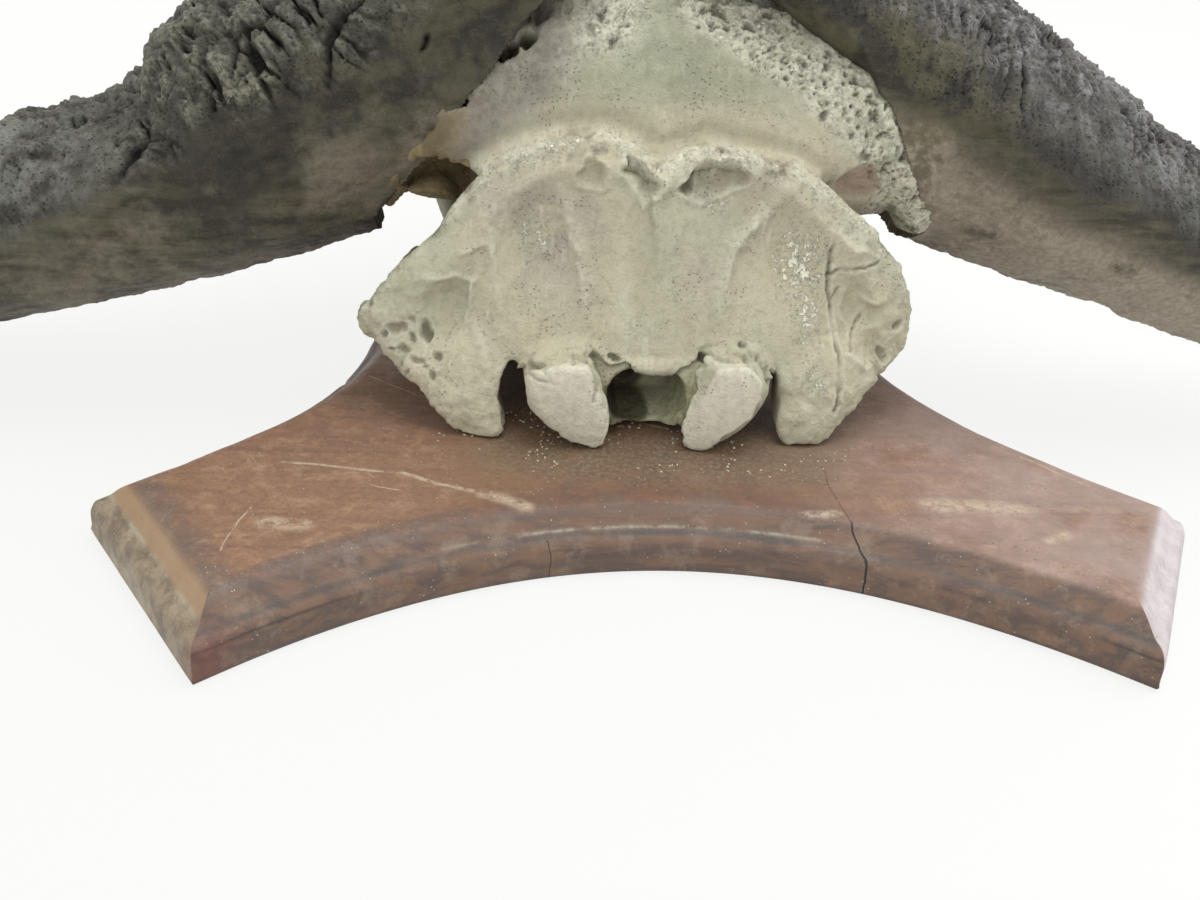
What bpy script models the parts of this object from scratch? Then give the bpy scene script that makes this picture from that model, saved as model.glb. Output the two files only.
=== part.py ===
# Buffalo skull and horns resting on a wooden shield plaque, life size.
# Metres, +Z up out of the plaque, +Y towards the nose, +X the animal's right side.
import math

import bmesh
import bpy
from mathutils import Vector

for old in list(bpy.data.objects):
    bpy.data.objects.remove(old, do_unlink=True)

# Gap that two touching pieces keep, and a length past every cut
GAP = 0.0003
FAR = 1.0

# Shield plaque, with y counted from its two near corners towards the tip
PLAQUE_LENGTH = 0.665
PLAQUE_THICKNESS = 0.027
NEAR_CORNER_X = 0.187
NEAR_ARC_DEPTH = 0.079
NEAR_ARC_STEPS = 18
EAR_X = 0.250
EAR_Y = 0.1035
# Half width of the shield at places from the ears to the tip
SHIELD_HALF_WIDTHS = (
    (0.1175, 0.2360), (0.1328, 0.2205), (0.1553, 0.2003), (0.1800, 0.1800), (0.2140, 0.1610),
    (0.2500, 0.1495), (0.2900, 0.1430), (0.3300, 0.1385), (0.3700, 0.1305), (0.4100, 0.1210),
    (0.4500, 0.1095), (0.4900, 0.0965), (0.5300, 0.0810), (0.5700, 0.0630), (0.6100, 0.0420),
    (0.6450, 0.0180),
)
# Moulded edge of the plaque: height over the back and how far it lies in from the outline
PLAQUE_EDGE = (
    (0.0000, 0.0012), (0.0025, 0.0000), (0.0100, 0.0000), (0.0140, 0.0012), (0.0168, 0.0035),
    (0.0182, 0.0066), (0.0200, 0.0086), (0.0238, 0.0122), (0.0262, 0.0155), (0.0270, 0.0185),
)

# Skull frame: s runs forward from the back of the condyles, h up from the plaque's face
SKULL_BACK_Y = 0.140 - PLAQUE_LENGTH / 2
SKULL_FLOOR_Z = PLAQUE_THICKNESS + GAP

# The skull sits a little to the left of the plaque's middle, and its right side stands higher
SKULL_SHIFT_X = -0.0053
SKULL_LEAN = 0.0234
LEAN_FULL_H = 0.050

# Right half of the occiput seen from behind, from the notch of the crest to the foramen
OCCIPUT_OUTLINE = (
    (0.000, 0.1235), (0.015, 0.1290), (0.030, 0.1315), (0.047, 0.1285), (0.064, 0.1220),
    (0.080, 0.1130), (0.093, 0.1020), (0.105, 0.0910), (0.116, 0.0790), (0.125, 0.0660),
    (0.1310, 0.0530), (0.1305, 0.0400), (0.1235, 0.0300), (0.1110, 0.0225), (0.0950, 0.0210),
    (0.0780, 0.0230), (0.0620, 0.0290), (0.0460, 0.0300), (0.0300, 0.0160), (0.0150, 0.0040),
    (0.0000, 0.0030),
)
OCCIPUT_CENTRE_H = 0.070
OCCIPUT_FRONT_S = 0.066
OCCIPUT_RINGS = 7
# Nape surface: its place at the floor, its slope and curve going up, and how far the sides sweep forward
NAPE_S = 0.010
NAPE_SLOPE = 0.26
NAPE_CURVE = 0.30
NAPE_SWEEP = 0.014
NAPE_HALF_WIDTH = 0.13
# Hollows and the middle ridge of the nape: x, h, spread in x and in h, and depth, minus for a ridge
NAPE_FORMS = (
    (0.050, 0.088, 0.026, 0.026, 0.0075), (0.098, 0.052, 0.016, 0.022, 0.0060),
    (0.000, 0.104, 0.009, 0.024, -0.0060),
)
# The crest overhangs the nape on the outer part of each section
CREST_START = 0.80
CREST_OVERHANG = 0.0035
CREST_LOWEST_H = 0.06
RIM_ROUNDING = 0.0050
# Thickness of the occiput's rim, thin at the crest and thick at the mastoids
RIM_THIN = 0.010
RIM_THICKENING = 0.012
RIM_THIN_H = 0.100
RIM_THICK_H = 0.040
# Share of a modelled face's width that its hidden front keeps
RELIEF_FRONT_SHARE = 0.55
RELIEF_RINGS = 4

# Right paroccipital process seen from behind
PROCESS_OUTLINE = (
    (0.1150, 0.0270), (0.1080, 0.0200), (0.0990, 0.0120), (0.0910, 0.0030), (0.0820, 0.0000),
    (0.0700, 0.0000), (0.0645, 0.0070), (0.0640, 0.0200), (0.0620, 0.0320), (0.0780, 0.0420),
    (0.1000, 0.0440),
)
PROCESS_CENTRE = (0.0850, 0.0220)
PROCESS_FRONT_S = 0.046
PROCESS_REAR_S = 0.002
PROCESS_SLOPE = 0.42
PROCESS_SWEEP = 0.012
PROCESS_EDGE = 0.0035
PROCESS_RIM = 0.016

CONDYLE_OUTLINE = (
    (0.0285, 0.0420), (0.0400, 0.0440), (0.0510, 0.0425), (0.0575, 0.0345), (0.0575, 0.0250),
    (0.0500, 0.0130), (0.0380, 0.0040), (0.0270, 0.0000), (0.0195, 0.0030), (0.0190, 0.0140),
    (0.0235, 0.0290),
)
CONDYLE_CENTRE = (0.0385, 0.0245)
CONDYLE_RIM_S = 0.022
CONDYLE_FRONT_S = 0.040
CONDYLE_EDGE_S = 0.004
CONDYLE_SLOPE = 0.40
CONDYLE_FLATNESS = 0.28

# The left edge of the occiput is a little narrower at mid height
LEFT_NARROWING = 0.09
NARROWING_H = 0.086
NARROWING_SPREAD = 0.024

# Foramen: middle height, half sizes at its mouth, and how far it narrows at places along s
FORAMEN_H = 0.0195
FORAMEN_HALF_WIDTH = 0.0195
FORAMEN_HALF_HEIGHT = 0.0150
FORAMEN_STATIONS = ((-0.020, 0.0), (0.020, 0.0), (0.036, 0.05), (0.054, 0.15))
FORAMEN_SIDES = 16

# Lofts along s. Each station: s, half width, top h, h of the greatest width, bottom h
PARIETAL_ROOF = (
    (0.0540, 0.076, 0.1270, 0.1150, 0.106), (0.0595, 0.086, 0.1420, 0.1170, 0.107),
    (0.0660, 0.108, 0.1600, 0.1180, 0.108),
    (0.0740, 0.131, 0.1740, 0.1060, 0.096), (0.0900, 0.139, 0.1890, 0.0980, 0.087),
    (0.1120, 0.142, 0.2030, 0.0970, 0.085), (0.1500, 0.143, 0.2110, 0.1010, 0.087),
    (0.1950, 0.138, 0.2090, 0.1080, 0.094), (0.2350, 0.125, 0.1990, 0.1180, 0.104),
    (0.2620, 0.105, 0.1880, 0.1260, 0.114),
)
BRAINCASE = (
    (0.0530, 0.060, 0.112, 0.070, 0.030), (0.0600, 0.074, 0.128, 0.072, 0.024),
    (0.0750, 0.077, 0.150, 0.074, 0.022), (0.1100, 0.071, 0.160, 0.074, 0.024),
    (0.1500, 0.062, 0.165, 0.076, 0.030), (0.1900, 0.054, 0.170, 0.080, 0.036),
    (0.2300, 0.050, 0.170, 0.084, 0.044),
)
FACE = (
    (0.1960, 0.060, 0.190, 0.130, 0.074), (0.2220, 0.082, 0.192, 0.128, 0.060),
    (0.2520, 0.092, 0.187, 0.120, 0.044), (0.2820, 0.092, 0.174, 0.102, 0.032),
    (0.3120, 0.086, 0.160, 0.084, 0.024), (0.3420, 0.077, 0.148, 0.070, 0.020),
    (0.3720, 0.066, 0.137, 0.060, 0.019), (0.4020, 0.056, 0.127, 0.052, 0.020),
    (0.4320, 0.050, 0.117, 0.048, 0.021), (0.4500, 0.046, 0.094, 0.044, 0.021),
    (0.4620, 0.042, 0.070, 0.040, 0.021),
)
# Notch between the condyles, open to the plaque, cut back to the lower edge of the foramen
CONDYLE_NOTCH = (
    (-0.0200, 0.0178, 0.030, 0.010, -0.012), (0.0100, 0.0170, 0.030, 0.010, -0.012),
    (0.0180, 0.0150, 0.028, 0.012, -0.006), (0.0250, 0.0100, 0.024, 0.013, 0.003),
)
# Pockets between the condyles and the paroccipital processes: centre x, s, h and radii
POCKETS = (
    ((-0.0638, 0.020, 0.018), (0.0062, 0.027, 0.0170)),
    ((0.0606, 0.020, 0.017), (0.0042, 0.027, 0.0160)),
)
BASE = (
    (0.0240, 0.022, 0.034, 0.020, 0.003), (0.0450, 0.027, 0.050, 0.024, 0.004),
    (0.0750, 0.029, 0.052, 0.028, 0.008), (0.1100, 0.024, 0.056, 0.034, 0.016),
    (0.1500, 0.022, 0.062, 0.040, 0.022), (0.1900, 0.028, 0.072, 0.044, 0.018),
    (0.2300, 0.038, 0.080, 0.046, 0.014), (0.2620, 0.044, 0.080, 0.050, 0.020),
)
NASAL = (
    (0.2960, 0.020, 0.1690, 0.156, 0.150), (0.3180, 0.031, 0.1620, 0.150, 0.142),
    (0.3600, 0.033, 0.1460, 0.134, 0.126), (0.4000, 0.034, 0.1320, 0.120, 0.112),
    (0.4320, 0.033, 0.1215, 0.112, 0.107), (0.4520, 0.027, 0.1150, 0.109, 0.106),
    (0.4660, 0.017, 0.1090, 0.106, 0.104),
)
# Hollow of the nose, cut from the front
NOSE_HOLLOW = (
    (0.3520, 0.022, 0.108, 0.070, 0.050), (0.3850, 0.030, 0.114, 0.066, 0.045),
    (0.4200, 0.034, 0.110, 0.062, 0.040), (0.4500, 0.036, 0.104, 0.060, 0.038),
    (0.5200, 0.036, 0.100, 0.060, 0.036),
)
# Premaxilla of the right side: x, s, h, half width, half height
PREMAXILLA = (
    (0.040, 0.414, 0.070, 0.0060, 0.0300), (0.036, 0.432, 0.048, 0.0075, 0.0270),
    (0.032, 0.450, 0.034, 0.0110, 0.0200), (0.031, 0.466, 0.026, 0.0150, 0.0120),
    (0.030, 0.480, 0.022, 0.0170, 0.0085), (0.026, 0.492, 0.020, 0.0140, 0.0065),
    (0.021, 0.499, 0.019, 0.0070, 0.0040),
)
# Zygomatic arch of the right side: x, s, h, half width, half height
ARCH = (
    (0.078, 0.066, 0.050, 0.0170, 0.0150), (0.086, 0.092, 0.050, 0.0130, 0.0125),
    (0.088, 0.130, 0.050, 0.0070, 0.0110), (0.0905, 0.172, 0.051, 0.0065, 0.0110),
    (0.097, 0.212, 0.057, 0.0080, 0.0140), (0.1010, 0.245, 0.067, 0.0090, 0.0160),
    (0.0960, 0.282, 0.074, 0.0100, 0.0160), (0.0840, 0.318, 0.074, 0.0090, 0.0120),
)
ARCH_SIDES = 10
PREMAXILLA_SIDES = 10

# Orbit of the right side
ORBIT_CENTRE = (0.100, 0.252, 0.118)
ORBIT_AXIS = (0.90, 0.36, 0.16)
ORBIT_RIM_RADIUS = 0.0365
ORBIT_RIM_TUBE = 0.0085
ORBIT_RIM_HALF_DEPTH = 0.0095
ORBIT_AROUND = 20
ORBIT_SECTION = 6
# Hollow of the orbit: place along its outward axis and radius
ORBIT_HOLLOW = ((0.060, 0.034), (0.0, 0.029), (-0.026, 0.026), (-0.052, 0.010))

# Rounded swellings of the right side: centre x, s, h and radii
SWELLINGS = (
    ((0.0900, 0.066, 0.052), (0.033, 0.026, 0.028)),
    ((0.0580, 0.080, 0.024), (0.015, 0.022, 0.018)),
    ((0.0790, 0.312, 0.066), (0.011, 0.034, 0.013)),
)

# Cheek teeth: number in a row, their places, and their sizes, smaller towards the nose
TOOTH_COUNT = 6
TOOTH_ROW_START_S = 0.252
TOOTH_ROW_END_S = 0.396
TOOTH_ROW_BACK_X = 0.0620
TOOTH_ROW_FRONT_X = 0.0490
TOOTH_SPREAD = 1.06
TOOTH_HALF_WIDTH = 0.0125
TOOTH_NARROWING = 0.42
TOOTH_LENGTH_SHARE = 0.605
TOOTH_SHORTENING = 0.090
# Height over the plaque and swelling of a tooth's sections
TOOTH_SECTIONS = ((0.0, -0.0010), (0.003, 0.0), (0.016, 0.0010), (0.036, 0.0))
TOOTH_SIDES = 8
TOOTH_POWER = 3.0

# Right horn: x, s, h, half depth, half thickness of the section across the path
HORN = (
    (0.0060, 0.196, 0.2080, 0.080, 0.0220), (0.0250, 0.194, 0.2060, 0.099, 0.0350),
    (0.0600, 0.188, 0.1900, 0.115, 0.0540), (0.1000, 0.178, 0.1650, 0.112, 0.0630),
    (0.1500, 0.160, 0.1355, 0.100, 0.0650), (0.2000, 0.144, 0.1095, 0.085, 0.0610),
    (0.2500, 0.134, 0.0860, 0.071, 0.0530), (0.3000, 0.128, 0.0650, 0.061, 0.0450),
    (0.3450, 0.126, 0.0510, 0.055, 0.0415), (0.3880, 0.123, 0.0510, 0.049, 0.0400),
    (0.4280, 0.115, 0.0680, 0.044, 0.0395), (0.4540, 0.100, 0.1010, 0.038, 0.0350),
    (0.4620, 0.080, 0.1440, 0.032, 0.0300), (0.4570, 0.059, 0.1880, 0.026, 0.0245),
    (0.4440, 0.041, 0.2280, 0.019, 0.0180), (0.4290, 0.028, 0.2610, 0.011, 0.0105),
    (0.4200, 0.022, 0.2790, 0.004, 0.0040),
)
# Slope that the right horn stands higher and the left one lower
HORN_RISE = 0.012
# Places along the horn path, in control points, where it is parted
HORN_PARTS = (("boss", 0.0, 5.0), ("middle", 5.0, 10.0), ("tip", 10.0, 16.0))
HORN_STEPS = 2
HORN_SIDES = 24
HORN_POWER = 2.15

# Angle past which an edge between two faces looks sharp
SHARP_ANGLE = math.radians(50)


def skull_point(x, s, h):
    """Point of the skull frame in world metres."""
    return Vector((x, SKULL_BACK_Y + s, SKULL_FLOOR_Z + h))


def catmull(values, place):
    """Value of a smooth curve through equally spaced rows of numbers at a place along them."""
    last = len(values) - 1
    index = min(int(place), last - 1)
    t = place - index
    rows = [values[min(max(index + k, 0), last)] for k in (-1, 0, 1, 2)]
    if index == 0:
        rows[0] = [2 * a - b for a, b in zip(rows[1], rows[2])]
    if index == last - 1:
        rows[3] = [2 * a - b for a, b in zip(rows[2], rows[1])]
    result = []
    for a, b, c, d in zip(*rows):
        slope_b = (c - a) / 2
        slope_c = (d - b) / 2
        result.append(
            (2 * t**3 - 3 * t**2 + 1) * b + (t**3 - 2 * t**2 + t) * slope_b
            + (3 * t**2 - 2 * t**3) * c + (t**3 - t**2) * slope_c
        )
    return result


def smooth_rows(values, steps):
    """The rows of a curve with steps intervals between each two given rows."""
    count = (len(values) - 1) * steps
    return [catmull(values, i / steps) for i in range(count + 1)]


def rounded(angle, power):
    """Point of a superellipse of half axes 1 at an angle."""
    c = math.cos(angle)
    s = math.sin(angle)
    return (math.copysign(abs(c) ** (2 / power), c), math.copysign(abs(s) ** (2 / power), s))


def loft(rings):
    """Closed mesh through rings of points, with a fan at each end."""
    mesh = bmesh.new()
    rows = [[mesh.verts.new(point) for point in ring] for ring in rings]
    sides = len(rows[0])
    for row, following in zip(rows, rows[1:]):
        for i in range(sides):
            j = (i + 1) % sides
            mesh.faces.new((row[i], row[j], following[j], following[i]))
    for row, flip in ((rows[0], True), (rows[-1], False)):
        centre = mesh.verts.new(sum((v.co for v in row), Vector()) / sides)
        for i in range(sides):
            j = (i + 1) % sides
            corner = (row[j], row[i], centre) if flip else (row[i], row[j], centre)
            mesh.faces.new(corner)
    bmesh.ops.recalc_face_normals(mesh, faces=mesh.faces)
    if mesh.calc_volume(signed=True) < 0:
        bmesh.ops.reverse_faces(mesh, faces=mesh.faces)
    return mesh


def s_loft(stations, sides, power_up, power_down):
    """Loft along s through rounded sections that are widest at a height of their own."""
    rings = []
    for s, half_width, top, widest, bottom in stations:
        ring = []
        for i in range(sides):
            angle = 2 * math.pi * (i + 0.5) / sides
            upper = math.sin(angle) > 0
            across, up = rounded(angle, power_up if upper else power_down)
            reach = top - widest if upper else widest - bottom
            ring.append(skull_point(across * half_width, s, widest + up * reach))
        rings.append(ring)
    return loft(rings)


def path_frame(points, index, side_hint):
    """Tangent of a path at a point, and the two directions across it."""
    before = points[max(index - 1, 0)]
    after = points[min(index + 1, len(points) - 1)]
    tangent = (after - before).normalized()
    depth = (side_hint - tangent * side_hint.dot(tangent)).normalized()
    return tangent, depth, tangent.cross(depth)


def swept(rows, sides, side_hint, power=2.0):
    """Tube along rows of x, s, h, half size along the hint and half size across it."""
    points = [skull_point(*row[:3]) for row in rows]
    rings = []
    for index, row in enumerate(rows):
        tangent, depth, across = path_frame(points, index, side_hint)
        ring = []
        for i in range(sides):
            c, s = rounded(2 * math.pi * i / sides, power)
            ring.append(points[index] + depth * (c * row[3]) + across * (s * row[4]))
        rings.append(ring)
    return loft(rings)


def ellipsoid(centre, radii, u_segments=14, v_segments=8):
    """Rounded swelling with its centre and radii in the skull frame."""
    mesh = bmesh.new()
    bmesh.ops.create_uvsphere(mesh, u_segments=u_segments, v_segments=v_segments, radius=1.0)
    bmesh.ops.scale(mesh, vec=radii, verts=mesh.verts)
    bmesh.ops.translate(mesh, vec=skull_point(*centre), verts=mesh.verts)
    return mesh


def relief(outline, centre, rings, rear_s, rim_front_s, front_s):
    """Closed solid seen from behind as an outline, with a modelled rear face."""
    mesh = bmesh.new()
    cx, ch = centre
    rear_centre = mesh.verts.new(skull_point(cx, rear_s(cx, ch, 0.0), ch))
    rows = []
    for k in range(1, rings + 1):
        t = k / rings
        row = []
        for x, h in outline:
            px = cx + (x - cx) * t
            ph = ch + (h - ch) * t
            row.append(mesh.verts.new(skull_point(px, rear_s(px, ph, t), ph)))
        rows.append(row)
    rows.append([mesh.verts.new(skull_point(x, rim_front_s(x, h), h)) for x, h in outline])
    share = RELIEF_FRONT_SHARE
    inner = [(cx + (x - cx) * share, ch + (h - ch) * share) for x, h in outline]
    rows.append([mesh.verts.new(skull_point(x, front_s, h)) for x, h in inner])
    front_centre = mesh.verts.new(skull_point(cx, front_s, ch))
    count = len(outline)
    for row, following in zip(rows, rows[1:]):
        for i in range(count):
            j = (i + 1) % count
            mesh.faces.new((row[i], row[j], following[j], following[i]))
    for i in range(count):
        j = (i + 1) % count
        mesh.faces.new((rows[0][j], rows[0][i], rear_centre))
        mesh.faces.new((rows[-1][i], rows[-1][j], front_centre))
    bmesh.ops.recalc_face_normals(mesh, faces=mesh.faces)
    if mesh.calc_volume(signed=True) < 0:
        bmesh.ops.reverse_faces(mesh, faces=mesh.faces)
    return mesh


def mirrored(mesh):
    """Copy of a mesh on the other side of the middle plane."""
    copy = mesh.copy()
    for vertex in copy.verts:
        vertex.co.x = -vertex.co.x
    bmesh.ops.reverse_faces(copy, faces=copy.faces)
    return copy


def prism(side_outline, x_from, x_to, grow=0.0):
    """Block whose side view is an outline of s and h, grown by a margin on every face."""
    following = side_outline[1:] + side_outline[:1]
    area = sum(a[0] * b[1] - b[0] * a[1] for a, b in zip(side_outline, following))
    turn = 1 if area > 0 else -1
    count = len(side_outline)
    moved = []
    for i in range(count):
        a = Vector(side_outline[i - 1])
        b = Vector(side_outline[i])
        c = Vector(side_outline[(i + 1) % count])
        first = (b - a).normalized()
        second = (c - b).normalized()
        first_out = Vector((first.y, -first.x)) * turn
        second_out = Vector((second.y, -second.x)) * turn
        mitre = first_out + second_out
        moved.append(b + mitre * (grow / max(1 + first_out.dot(second_out), 0.2)))
    rings = []
    for x in (x_from - grow, x_to + grow):
        rings.append([skull_point(x, p.x, p.y) for p in moved])
    mesh = bmesh.new()
    low = [mesh.verts.new(p) for p in rings[0]]
    high = [mesh.verts.new(p) for p in rings[1]]
    for i in range(count):
        j = (i + 1) % count
        mesh.faces.new((low[i], low[j], high[j], high[i]))
    mesh.faces.new(low)
    mesh.faces.new(high)
    bmesh.ops.recalc_face_normals(mesh, faces=mesh.faces)
    return mesh


def object_of(name, mesh):
    """Object made of a bmesh, which is cut into triangles and freed."""
    bmesh.ops.triangulate(mesh, faces=mesh.faces)
    data = bpy.data.meshes.new(name)
    mesh.to_mesh(data)
    mesh.free()
    obj = bpy.data.objects.new(name, data)
    bpy.context.scene.collection.objects.link(obj)
    return obj


def evaluated_mesh(obj):
    """Bmesh of an object with its modifiers applied."""
    bpy.context.view_layer.update()
    mesh = bmesh.new()
    evaluated = obj.evaluated_get(bpy.context.evaluated_depsgraph_get())
    mesh.from_mesh(evaluated.to_mesh())
    evaluated.to_mesh_clear()
    bmesh.ops.triangulate(mesh, faces=mesh.faces)
    return mesh


def largest(mesh):
    """Keep only the largest closed surface of a mesh."""
    seen = set()
    shells = []
    for start in mesh.faces:
        if start in seen:
            continue
        shell = [start]
        seen.add(start)
        for face in shell:
            for edge in face.edges:
                for other in edge.link_faces:
                    if other not in seen:
                        seen.add(other)
                        shell.append(other)
        shells.append(shell)
    shells.sort(key=lambda shell: sum(face.calc_area() for face in shell), reverse=True)
    scraps = [face for shell in shells[1:] for face in shell]
    if scraps:
        bmesh.ops.delete(mesh, geom=scraps, context="FACES")
        loose = [v for v in mesh.verts if not v.link_faces]
        bmesh.ops.delete(mesh, geom=loose, context="VERTS")
    return mesh


def joined(meshes):
    """One closed mesh from overlapping closed meshes, by a union."""
    base = object_of("base", meshes[0])
    group = bpy.data.collections.new("joined")
    bpy.context.scene.collection.children.link(group)
    pieces = []
    for mesh in meshes[1:]:
        piece = object_of("piece", mesh)
        bpy.context.scene.collection.objects.unlink(piece)
        group.objects.link(piece)
        pieces.append(piece)
    modifier = base.modifiers.new("union", "BOOLEAN")
    modifier.operation = "UNION"
    modifier.solver = "EXACT"
    modifier.operand_type = "COLLECTION"
    modifier.collection = group
    result = largest(evaluated_mesh(base))
    for obj in [base] + pieces:
        bpy.data.objects.remove(obj, do_unlink=True)
    bpy.data.collections.remove(group)
    return result


def combined(mesh, other, operation):
    """Mesh after a Boolean with another mesh; both stay usable.

    These long shallow cuts leave open edges with the EXACT solver, so they use MANIFOLD.
    """
    base = object_of("base", mesh.copy())
    tool = object_of("tool", other.copy())
    modifier = base.modifiers.new("cut", "BOOLEAN")
    modifier.operation = operation
    modifier.solver = "MANIFOLD"
    modifier.object = tool
    result = evaluated_mesh(base)
    bpy.data.objects.remove(base, do_unlink=True)
    bpy.data.objects.remove(tool, do_unlink=True)
    return result


def grown(mesh, margin):
    """Copy of a mesh with every point moved out along its normal."""
    copy = mesh.copy()
    copy.normal_update()
    moves = [(v, v.normal * margin * min(v.calc_shell_factor(), 1.5)) for v in copy.verts]
    for vertex, move in moves:
        vertex.co += move
    return copy


def material(name, colour, roughness):
    """Principled material with a colour and roughness."""
    made = bpy.data.materials.new(name)
    made.use_nodes = True
    shader = made.node_tree.nodes["Principled BSDF"]
    shader.inputs["Base Color"].default_value = (*colour, 1.0)
    shader.inputs["Roughness"].default_value = roughness
    shader.inputs["Metallic"].default_value = 0.0
    return made


def settled(mesh):
    """Move a mesh from the skull's symmetric frame to its place on the plaque."""
    for vertex in mesh.verts:
        height = vertex.co.z - SKULL_FLOOR_Z
        vertex.co.z += SKULL_LEAN * vertex.co.x * min(1.0, max(0.0, height / LEAN_FULL_H))
        vertex.co.x += SKULL_SHIFT_X
    return mesh


def node(name, mesh, surface):
    """Final named object of a sub-part."""
    obj = object_of(name, largest(mesh))
    obj.data.materials.append(surface)
    obj.data.shade_smooth()
    obj.data.set_sharp_from_angle(angle=SHARP_ANGLE)
    return obj


def shield_outline():
    """Outline of the plaque, from the near left corner round by the tip."""
    arc = []
    for i in range(NEAR_ARC_STEPS + 1):
        across = 2 * i / NEAR_ARC_STEPS - 1
        arc.append((NEAR_CORNER_X * across, NEAR_ARC_DEPTH * (1 - across * across)))
    side = [(x, y) for y, x in SHIELD_HALF_WIDTHS]
    right = [(EAR_X, EAR_Y)] + side
    left = [(-x, y) for x, y in reversed(right)]
    return arc + right + [(0.0, PLAQUE_LENGTH)] + left


def inset(outline, distance):
    """Outline moved in by a distance, with mitred corners."""
    count = len(outline)
    result = []
    for i in range(count):
        a = Vector(outline[i - 1])
        b = Vector(outline[i])
        c = Vector(outline[(i + 1) % count])
        first = (b - a).normalized()
        second = (c - b).normalized()
        first_in = Vector((-first.y, first.x))
        second_in = Vector((-second.y, second.x))
        mitre = first_in + second_in
        result.append(b + mitre * (distance / max(1 + first_in.dot(second_in), 0.35)))
    return result


def make_plaque(surface):
    """Wooden shield with a stepped, moulded edge."""
    outline = shield_outline()
    rings = []
    for height, margin in PLAQUE_EDGE:
        ring = inset(outline, margin)
        rings.append([Vector((p.x, p.y - PLAQUE_LENGTH / 2, height)) for p in ring])
    mesh = bmesh.new()
    rows = [[mesh.verts.new(p) for p in ring] for ring in rings]
    count = len(outline)
    for row, following in zip(rows, rows[1:]):
        for i in range(count):
            j = (i + 1) % count
            mesh.faces.new((row[i], row[j], following[j], following[i]))
    mesh.faces.new(list(reversed(rows[0])))
    mesh.faces.new(rows[-1])
    return node("shield_plaque", mesh, surface)


def smooth_outline(points, steps):
    """Closed outline as a smooth curve through the points."""
    count = len(points)
    result = []
    for i in range(count):
        rows = [points[(i + k) % count] for k in (-1, 0, 1, 2)]
        for j in range(steps):
            result.append(tuple(catmull(rows, 1 + j / steps)))
    return result


def occiput_rear(x, h, t):
    """Place of the nape surface, with its hollows, middle ridge and overhanging crest."""
    s = NAPE_S + NAPE_SLOPE * h + NAPE_CURVE * h * h + NAPE_SWEEP * (x / NAPE_HALF_WIDTH) ** 2
    for form_x, form_h, spread_x, spread_h, depth in NAPE_FORMS:
        s += depth * math.exp(-(((abs(x) - form_x) / spread_x) ** 2) - ((h - form_h) / spread_h) ** 2)
    rim = max(0.0, (t - CREST_START) / (1 - CREST_START))
    if h > CREST_LOWEST_H:
        s -= CREST_OVERHANG * math.sin(math.pi * rim * 0.9)
    return s + RIM_ROUNDING * rim**3


def occiput_rim(x, h):
    """Front edge of the occiput's rim."""
    low = min(1.0, max(0.0, (RIM_THIN_H - h) / (RIM_THIN_H - RIM_THICK_H)))
    return occiput_rear(x, h, 1.0) + RIM_THIN + RIM_THICKENING * low


def condyle_rear(x, h, t):
    """Flattened rear face of a condyle, rounded at its edge."""
    edge = CONDYLE_EDGE_S + CONDYLE_SLOPE * h
    return edge * (1 - max(0.0, 1 - t * t) ** CONDYLE_FLATNESS)


def process_rear(x, h, t):
    """Rear face of a paroccipital process, proud of the nape surface low down."""
    sweep = PROCESS_SWEEP * (x / NAPE_HALF_WIDTH) ** 2
    return PROCESS_REAR_S + PROCESS_SLOPE * h + sweep + PROCESS_EDGE * t**4


def tooth(index):
    """One cheek tooth of the right row, its crown at the plaque and its root in the jaw."""
    row_length = TOOTH_ROW_END_S - TOOTH_ROW_START_S
    place = (index + 0.5) / TOOTH_COUNT
    s = TOOTH_ROW_START_S + row_length * place * (TOOTH_SPREAD - (TOOTH_SPREAD - 1) * place)
    x = TOOTH_ROW_BACK_X + (TOOTH_ROW_FRONT_X - TOOTH_ROW_BACK_X) * place
    half_length = row_length / TOOTH_COUNT * (TOOTH_LENGTH_SHARE - TOOTH_SHORTENING * place)
    half_width = TOOTH_HALF_WIDTH * (1.0 - TOOTH_NARROWING * place**1.5)
    rings = []
    for h, swell in TOOTH_SECTIONS:
        ring = []
        for i in range(TOOTH_SIDES):
            along, across = rounded(2 * math.pi * (i + 0.5) / TOOTH_SIDES, TOOTH_POWER)
            ring.append(skull_point(x + across * (half_width + swell), s + along * (half_length + swell), h))
        rings.append(ring)
    return loft(rings)


def orbit_axes():
    """Centre of the right orbit and its outward, forward and upward directions."""
    outward = Vector(ORBIT_AXIS).normalized()
    up = (Vector((0, 0, 1)) - outward * outward.z).normalized()
    return skull_point(*ORBIT_CENTRE), outward, up.cross(outward), up


def orbit_rim():
    """Raised ring of bone round the right orbit."""
    centre, outward, forward, up = orbit_axes()
    mesh = bmesh.new()
    rows = []
    for i in range(ORBIT_AROUND):
        angle = 2 * math.pi * i / ORBIT_AROUND
        radial = forward * math.cos(angle) + up * math.sin(angle)
        row = []
        for j in range(ORBIT_SECTION):
            turn = 2 * math.pi * j / ORBIT_SECTION
            reach = radial * (ORBIT_RIM_RADIUS + ORBIT_RIM_TUBE * math.cos(turn))
            row.append(mesh.verts.new(centre + reach + outward * (ORBIT_RIM_HALF_DEPTH * math.sin(turn))))
        rows.append(row)
    for i in range(ORBIT_AROUND):
        following = rows[(i + 1) % ORBIT_AROUND]
        for j in range(ORBIT_SECTION):
            k = (j + 1) % ORBIT_SECTION
            mesh.faces.new((rows[i][j], rows[i][k], following[k], following[j]))
    bmesh.ops.recalc_face_normals(mesh, faces=mesh.faces)
    if mesh.calc_volume(signed=True) < 0:
        bmesh.ops.reverse_faces(mesh, faces=mesh.faces)
    return mesh


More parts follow.
